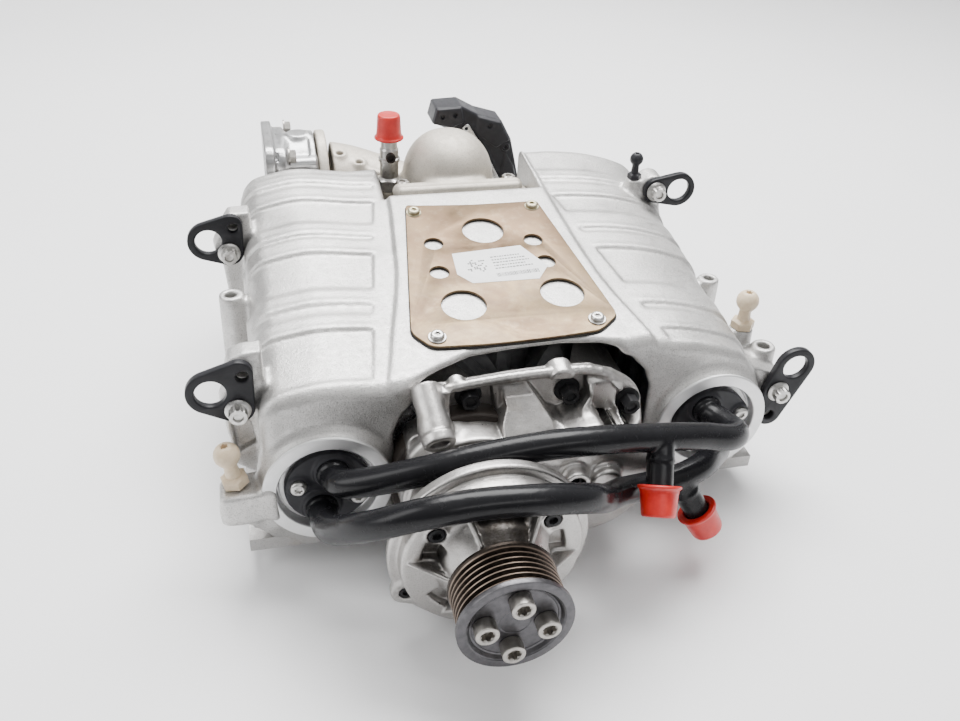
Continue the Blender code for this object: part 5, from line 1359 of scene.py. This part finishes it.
def throttle():
    g = Field((-137.2, 128, 84), (-97.4, 207, 173), 0.9)
    pts = [(THR_Y - 36, THR_Z - 37), (THR_Y + 36, THR_Z - 37), (THR_Y + 36, THR_Z + 37), (THR_Y - 36, THR_Z + 37)]
    g.add(s_slab("x", fillet_outline(pts, 13), -136, -128.5, 1.2))
    g.add(s_slab("x", fillet_outline([(THR_Y - 33, THR_Z - 34), (THR_Y + 33, THR_Z - 34), (THR_Y + 33, THR_Z + 34), (THR_Y - 33, THR_Z + 34)], 16), -129, -120, 1.6), 2)
    g.add(s_rod((-122, THR_Y, THR_Z), (-98.5, THR_Y, THR_Z), 34.2, 34.4, 1.0), 5)
    g.add(s_rod((-102.5, THR_Y, THR_Z), (-98.5, THR_Y, THR_Z), 35.8, 35.8, 0.8), 1.5)
    g.add(s_box((-119, THR_Y - 20, THR_Z - 48), (-99.6, THR_Y + 32, THR_Z - 24), 3.0), 6)
    g.add(s_rod((-110, THR_Y, THR_Z + 20), (-110, THR_Y, THR_Z + 36.6), 9.0, 8.0, 1.2), 4)
    for a in (40, 140, 220, 320):
        ca, sa = math.cos(math.radians(a)), math.sin(math.radians(a))
        g.add(s_rod((-121, THR_Y + 35 * ca, THR_Z + 35 * sa), (-98.6, THR_Y + 35 * ca, THR_Z + 35 * sa), 5.2, 4.8, 0.8), 4)
    for y, z in ((THR_Y - 29, THR_Z - 30), (THR_Y + 29, THR_Z - 30), (THR_Y + 29, THR_Z + 30), (THR_Y - 29, THR_Z + 30)):
        g.cut(s_rod((-138, y, z), (-126, y, z), 3.3), 0.5)
    g.cut(s_rod((-140, THR_Y, THR_Z), (-94, THR_Y, THR_Z), 29.0), 0.8)
    g.cut(s_rod((-110, THR_Y, THR_Z - 42), (-110, THR_Y, THR_Z + 35.5), 4.6))
    o = surface(g, "throttle_casting", CAST_REAR)
    own(thin_out(o, 120000), "housing", "throttle_body", slot="cast")
    cover_pts = fillet_outline([(THR_Y - 18, THR_Z - 47.5), (THR_Y + 30.5, THR_Z - 47.5), (THR_Y + 30.5, THR_Z - 28), (THR_Y - 18, THR_Z - 28)], 5)
    own(sheet("motor_cover", cover_pts, [], 0, 3.0, 0.8, BLACK_MOULD, lambda y, z, w: (-119.2 - w, y, z)), "housing")
    for k, (y, z) in enumerate(((THR_Y - 29, THR_Z - 30), (THR_Y + 29, THR_Z - 30), (THR_Y + 29, THR_Z + 30), (THR_Y - 29, THR_Z + 30))):
        own(lathe(f"throttle_bolt_{k + 1}", [(0, 0), (6.0, 0), (6.0, 1.2), (hexed(4.4), 1.3), (hexed(4.4), 5.2), (3.9, 5.6), (0, 5.6)], (-119.0, y, z), (1, 0, 0), STEEL_DULL), "housing")


throttle()


def actuator():
    outline = [(-6, 172), (-3, 183.5), (17, 184.5), (31, 177), (50, 171.5), (58.5, 156), (64.5, 132), (69, 112), (62, 103), (37, 107), (36, 128), (24, 158)]
    g = Field((-8, 169.5, 86), (71, 198.5, 187), 0.8)
    g.add(s_slab("y", outline, 173.5, 197, 1.6))
    g.add(s_slab("y", [(-5.5, 171.5), (-2.5, 183.0), (16.5, 184.0), (19, 172), (9, 168)], 171.2, 197, 1.2), 0.8)
    g.add(s_slab("y", [(30, 176), (49, 170.5), (57, 156), (46, 150), (30, 162)], 171.6, 180, 1.2), 1.2)
    g.add(s_slab("y", [(54, 146), (61.5, 133), (66.5, 113), (60, 106), (50, 120)], 171.2, 182, 1.2), 1.2)
    g.add(s_box((50, 176, 88), (68, 192, 107), 1.6), 1.5)
    g.cut(s_box((52.6, 178.6, 84), (65.4, 189.4, 97), 1.0), 0.3)
    for p, q in (((20, 173.2, 166), (44, 173.2, 122)), ((27, 173.2, 169), (52, 173.2, 124))):
        g.add(s_capsule(p, q, 0.9), 0.8)
    for x, z in ((2, 177), (12, 178), (40, 168), (54, 150), (62, 118)):
        g.add(s_rod((x, 171.2, z), (x, 176, z), 3.2, 3.4, 0.4), 0.8)
        g.cut(s_rod((x, 170, z), (x, 173.6, z), 1.7), 0.2)
    g.cut(s_rod((45, 168, 122), (45, 179, 122), 3.1))
    o = surface(g, "actuator_cover", BLACK_MOULD)
    own(thin_out(o, 120000), "housing", "bypass_actuator", slot="black_plastic")
    strip = [(17.5, 168.0), (22.5, 171.0), (38, 146), (50, 124), (56, 112), (50, 110), (44, 121), (31, 143)]
    own(sheet("actuator_strip", fillet_outline(strip, 2.0), [ring_of(21, 167, 1.4, 20), ring_of(51.5, 114.5, 1.4, 20)], 0, 1.7, 0.4, MACHINED, lambda x, z, w: (x, 173.2 - w, z)), "housing")


actuator()
rings = [(0, 139.3), (hexed(8.6), 139.3), (hexed(8.6), 147.4), (7.6, 148.2), (6.9, 149.0), (6.9, 160.5), (7.9, 161.2), (7.9, 163.4), (6.9, 164.1), (6.9, 170), (6.0, 171.4), (6.0, 190.8), (5.2, 192), (3.4, 192), (3.4, 180), (0, 180)]
own(lathe("fitting_turned", rings, (-46.5, 131, 0), (0, 0, 1), STEEL, 48, 30), "housing", "rear_fitting", slot="machined")
own(lathe("fitting_port", soft_profile([(0, 0), (3.6, 0), (3.6, 3.4), (2.3, 3.4), (2.3, 1.0), (0, 1.0)], 0.3), (-46.5, 124.6, 166.0), (0, -1, 0), DARK, 32), "housing")
rings = soft_profile([(0, 196.1), (7.6, 196.1), (8.3, 194.6), (9.0, 183.0), (9.6, 180.2), (10.7, 179.3), (10.7, 178.3), (9.8, 177.9), (6.35, 177.9), (6.35, 192.6), (0, 192.6)], 1.1, 4)
own(lathe("red_cap_3", rings, (-46.5, 131, 0), (0, 0, 1), RED, 64, 40), "cap_3", "transport_cap_3", slot="red_plastic")


# ------------------------------------------------------------------ pieces kept from the CAD
dress(["bearing_plate", "throttle_plate", "bypass_flap"], MACHINED)
dress(["drive_gear", "driven_gear", "input_shaft", "rotor_bearing_left", "rotor_bearing_right", "snout_bearing_front", "snout_bearing_rear"], STEEL)
dress(["drive_rotor", "driven_rotor"], ROTOR)
dress(["charge_cooler_left", "charge_cooler_right"], FIN)
dress(["rotor_housing"], CAST_LOW)


# ------------------------------------------------------------------ floor, backdrop and light
def area(name, at, aim, size, power, colour=(1, 1, 1)):
    light = bpy.data.lights.new(name, "AREA")
    light.shape, light.size, light.size_y, light.energy, light.color = "RECTANGLE", size[0], size[1], power, colour
    o = bpy.data.objects.new(name, light)
    o.location = at
    o.rotation_mode = "QUATERNION"
    o.rotation_quaternion = (Vector(aim) - Vector(at)).to_track_quat("-Z", "Y")
    bpy.context.scene.collection.objects.link(o)
    return o


def backdrop():
    m = Nodes("paper_white")
    m.colour(m.mix(m.span(m.noise(3, 2), 0, 1), (0.86, 0.86, 0.865), (0.885, 0.885, 0.89)))
    m.roughness(m.span(m.noise(30, 2), 0.6, 0.7))
    n, depth = 24, []
    rows = [(-3.0, 0.0), (-1.2, 0.0), (0.4, 0.0), (1.2, 0.0)] + [(1.2 + 0.8 * math.sin(a), 0.8 - 0.8 * math.cos(a)) for a in np.linspace(0.1, math.pi / 2, 10)] + [(2.0, 2.2), (2.0, 3.6)]
    verts, faces = [], []
    for yy, zz in rows:
        for i in range(n + 1):
            verts.append(((-3.5 + 7.0 * i / n) / MM, yy / MM, (zz - 0.0004) / MM))
    for r in range(len(rows) - 1):
        for i in range(n):
            a = r * (n + 1) + i
            faces.append((a, a + 1, a + n + 2, a + n + 1))
    o = obj_mesh("paper_sweep", verts, faces, m.mat)


backdrop()
world = bpy.data.worlds.new("studio")
bpy.context.scene.world = world
world.use_nodes = True
sky = world.node_tree
back = sky.nodes["Background"]
tc, sp, rp = sky.nodes.new("ShaderNodeTexCoord"), sky.nodes.new("ShaderNodeSeparateXYZ"), sky.nodes.new("ShaderNodeValToRGB")
sky.links.new(tc.outputs["Generated"], sp.inputs[0])
sky.links.new(sp.outputs[2], rp.inputs[0])
rp.color_ramp.elements[0].position, rp.color_ramp.elements[0].color = 0.0, (0.42, 0.42, 0.43, 1)
rp.color_ramp.elements[1].position, rp.color_ramp.elements[1].color = 0.85, (1.0, 1.0, 1.0, 1)
front = sky.nodes.new("ShaderNodeMapRange")
for key, val in (("From Min", -0.9), ("From Max", 0.2), ("To Min", 0.30), ("To Max", 1.0)):
    front.inputs[key].default_value = val
sky.links.new(sp.outputs[1], front.inputs["Value"])
dim = sky.nodes.new("ShaderNodeVectorMath")
dim.operation = "SCALE"
sky.links.new(rp.outputs[0], dim.inputs[0])
sky.links.new(front.outputs[0], dim.inputs["Scale"])
sky.links.new(dim.outputs[0], back.inputs[0])
back.inputs[1].default_value = 1.12
area("top_soft", (0.20, 0.60, 1.5), (0, 0.1, 0.1), (1.4, 1.0), 80)
area("left_soft", (-1.25, -0.1, 0.8), (0, 0, 0.08), (0.5, 1.1), 9)
area("front_soft", (0.35, -1.5, 1.1), (0, 0, 0.05), (1.4, 0.25), 6)
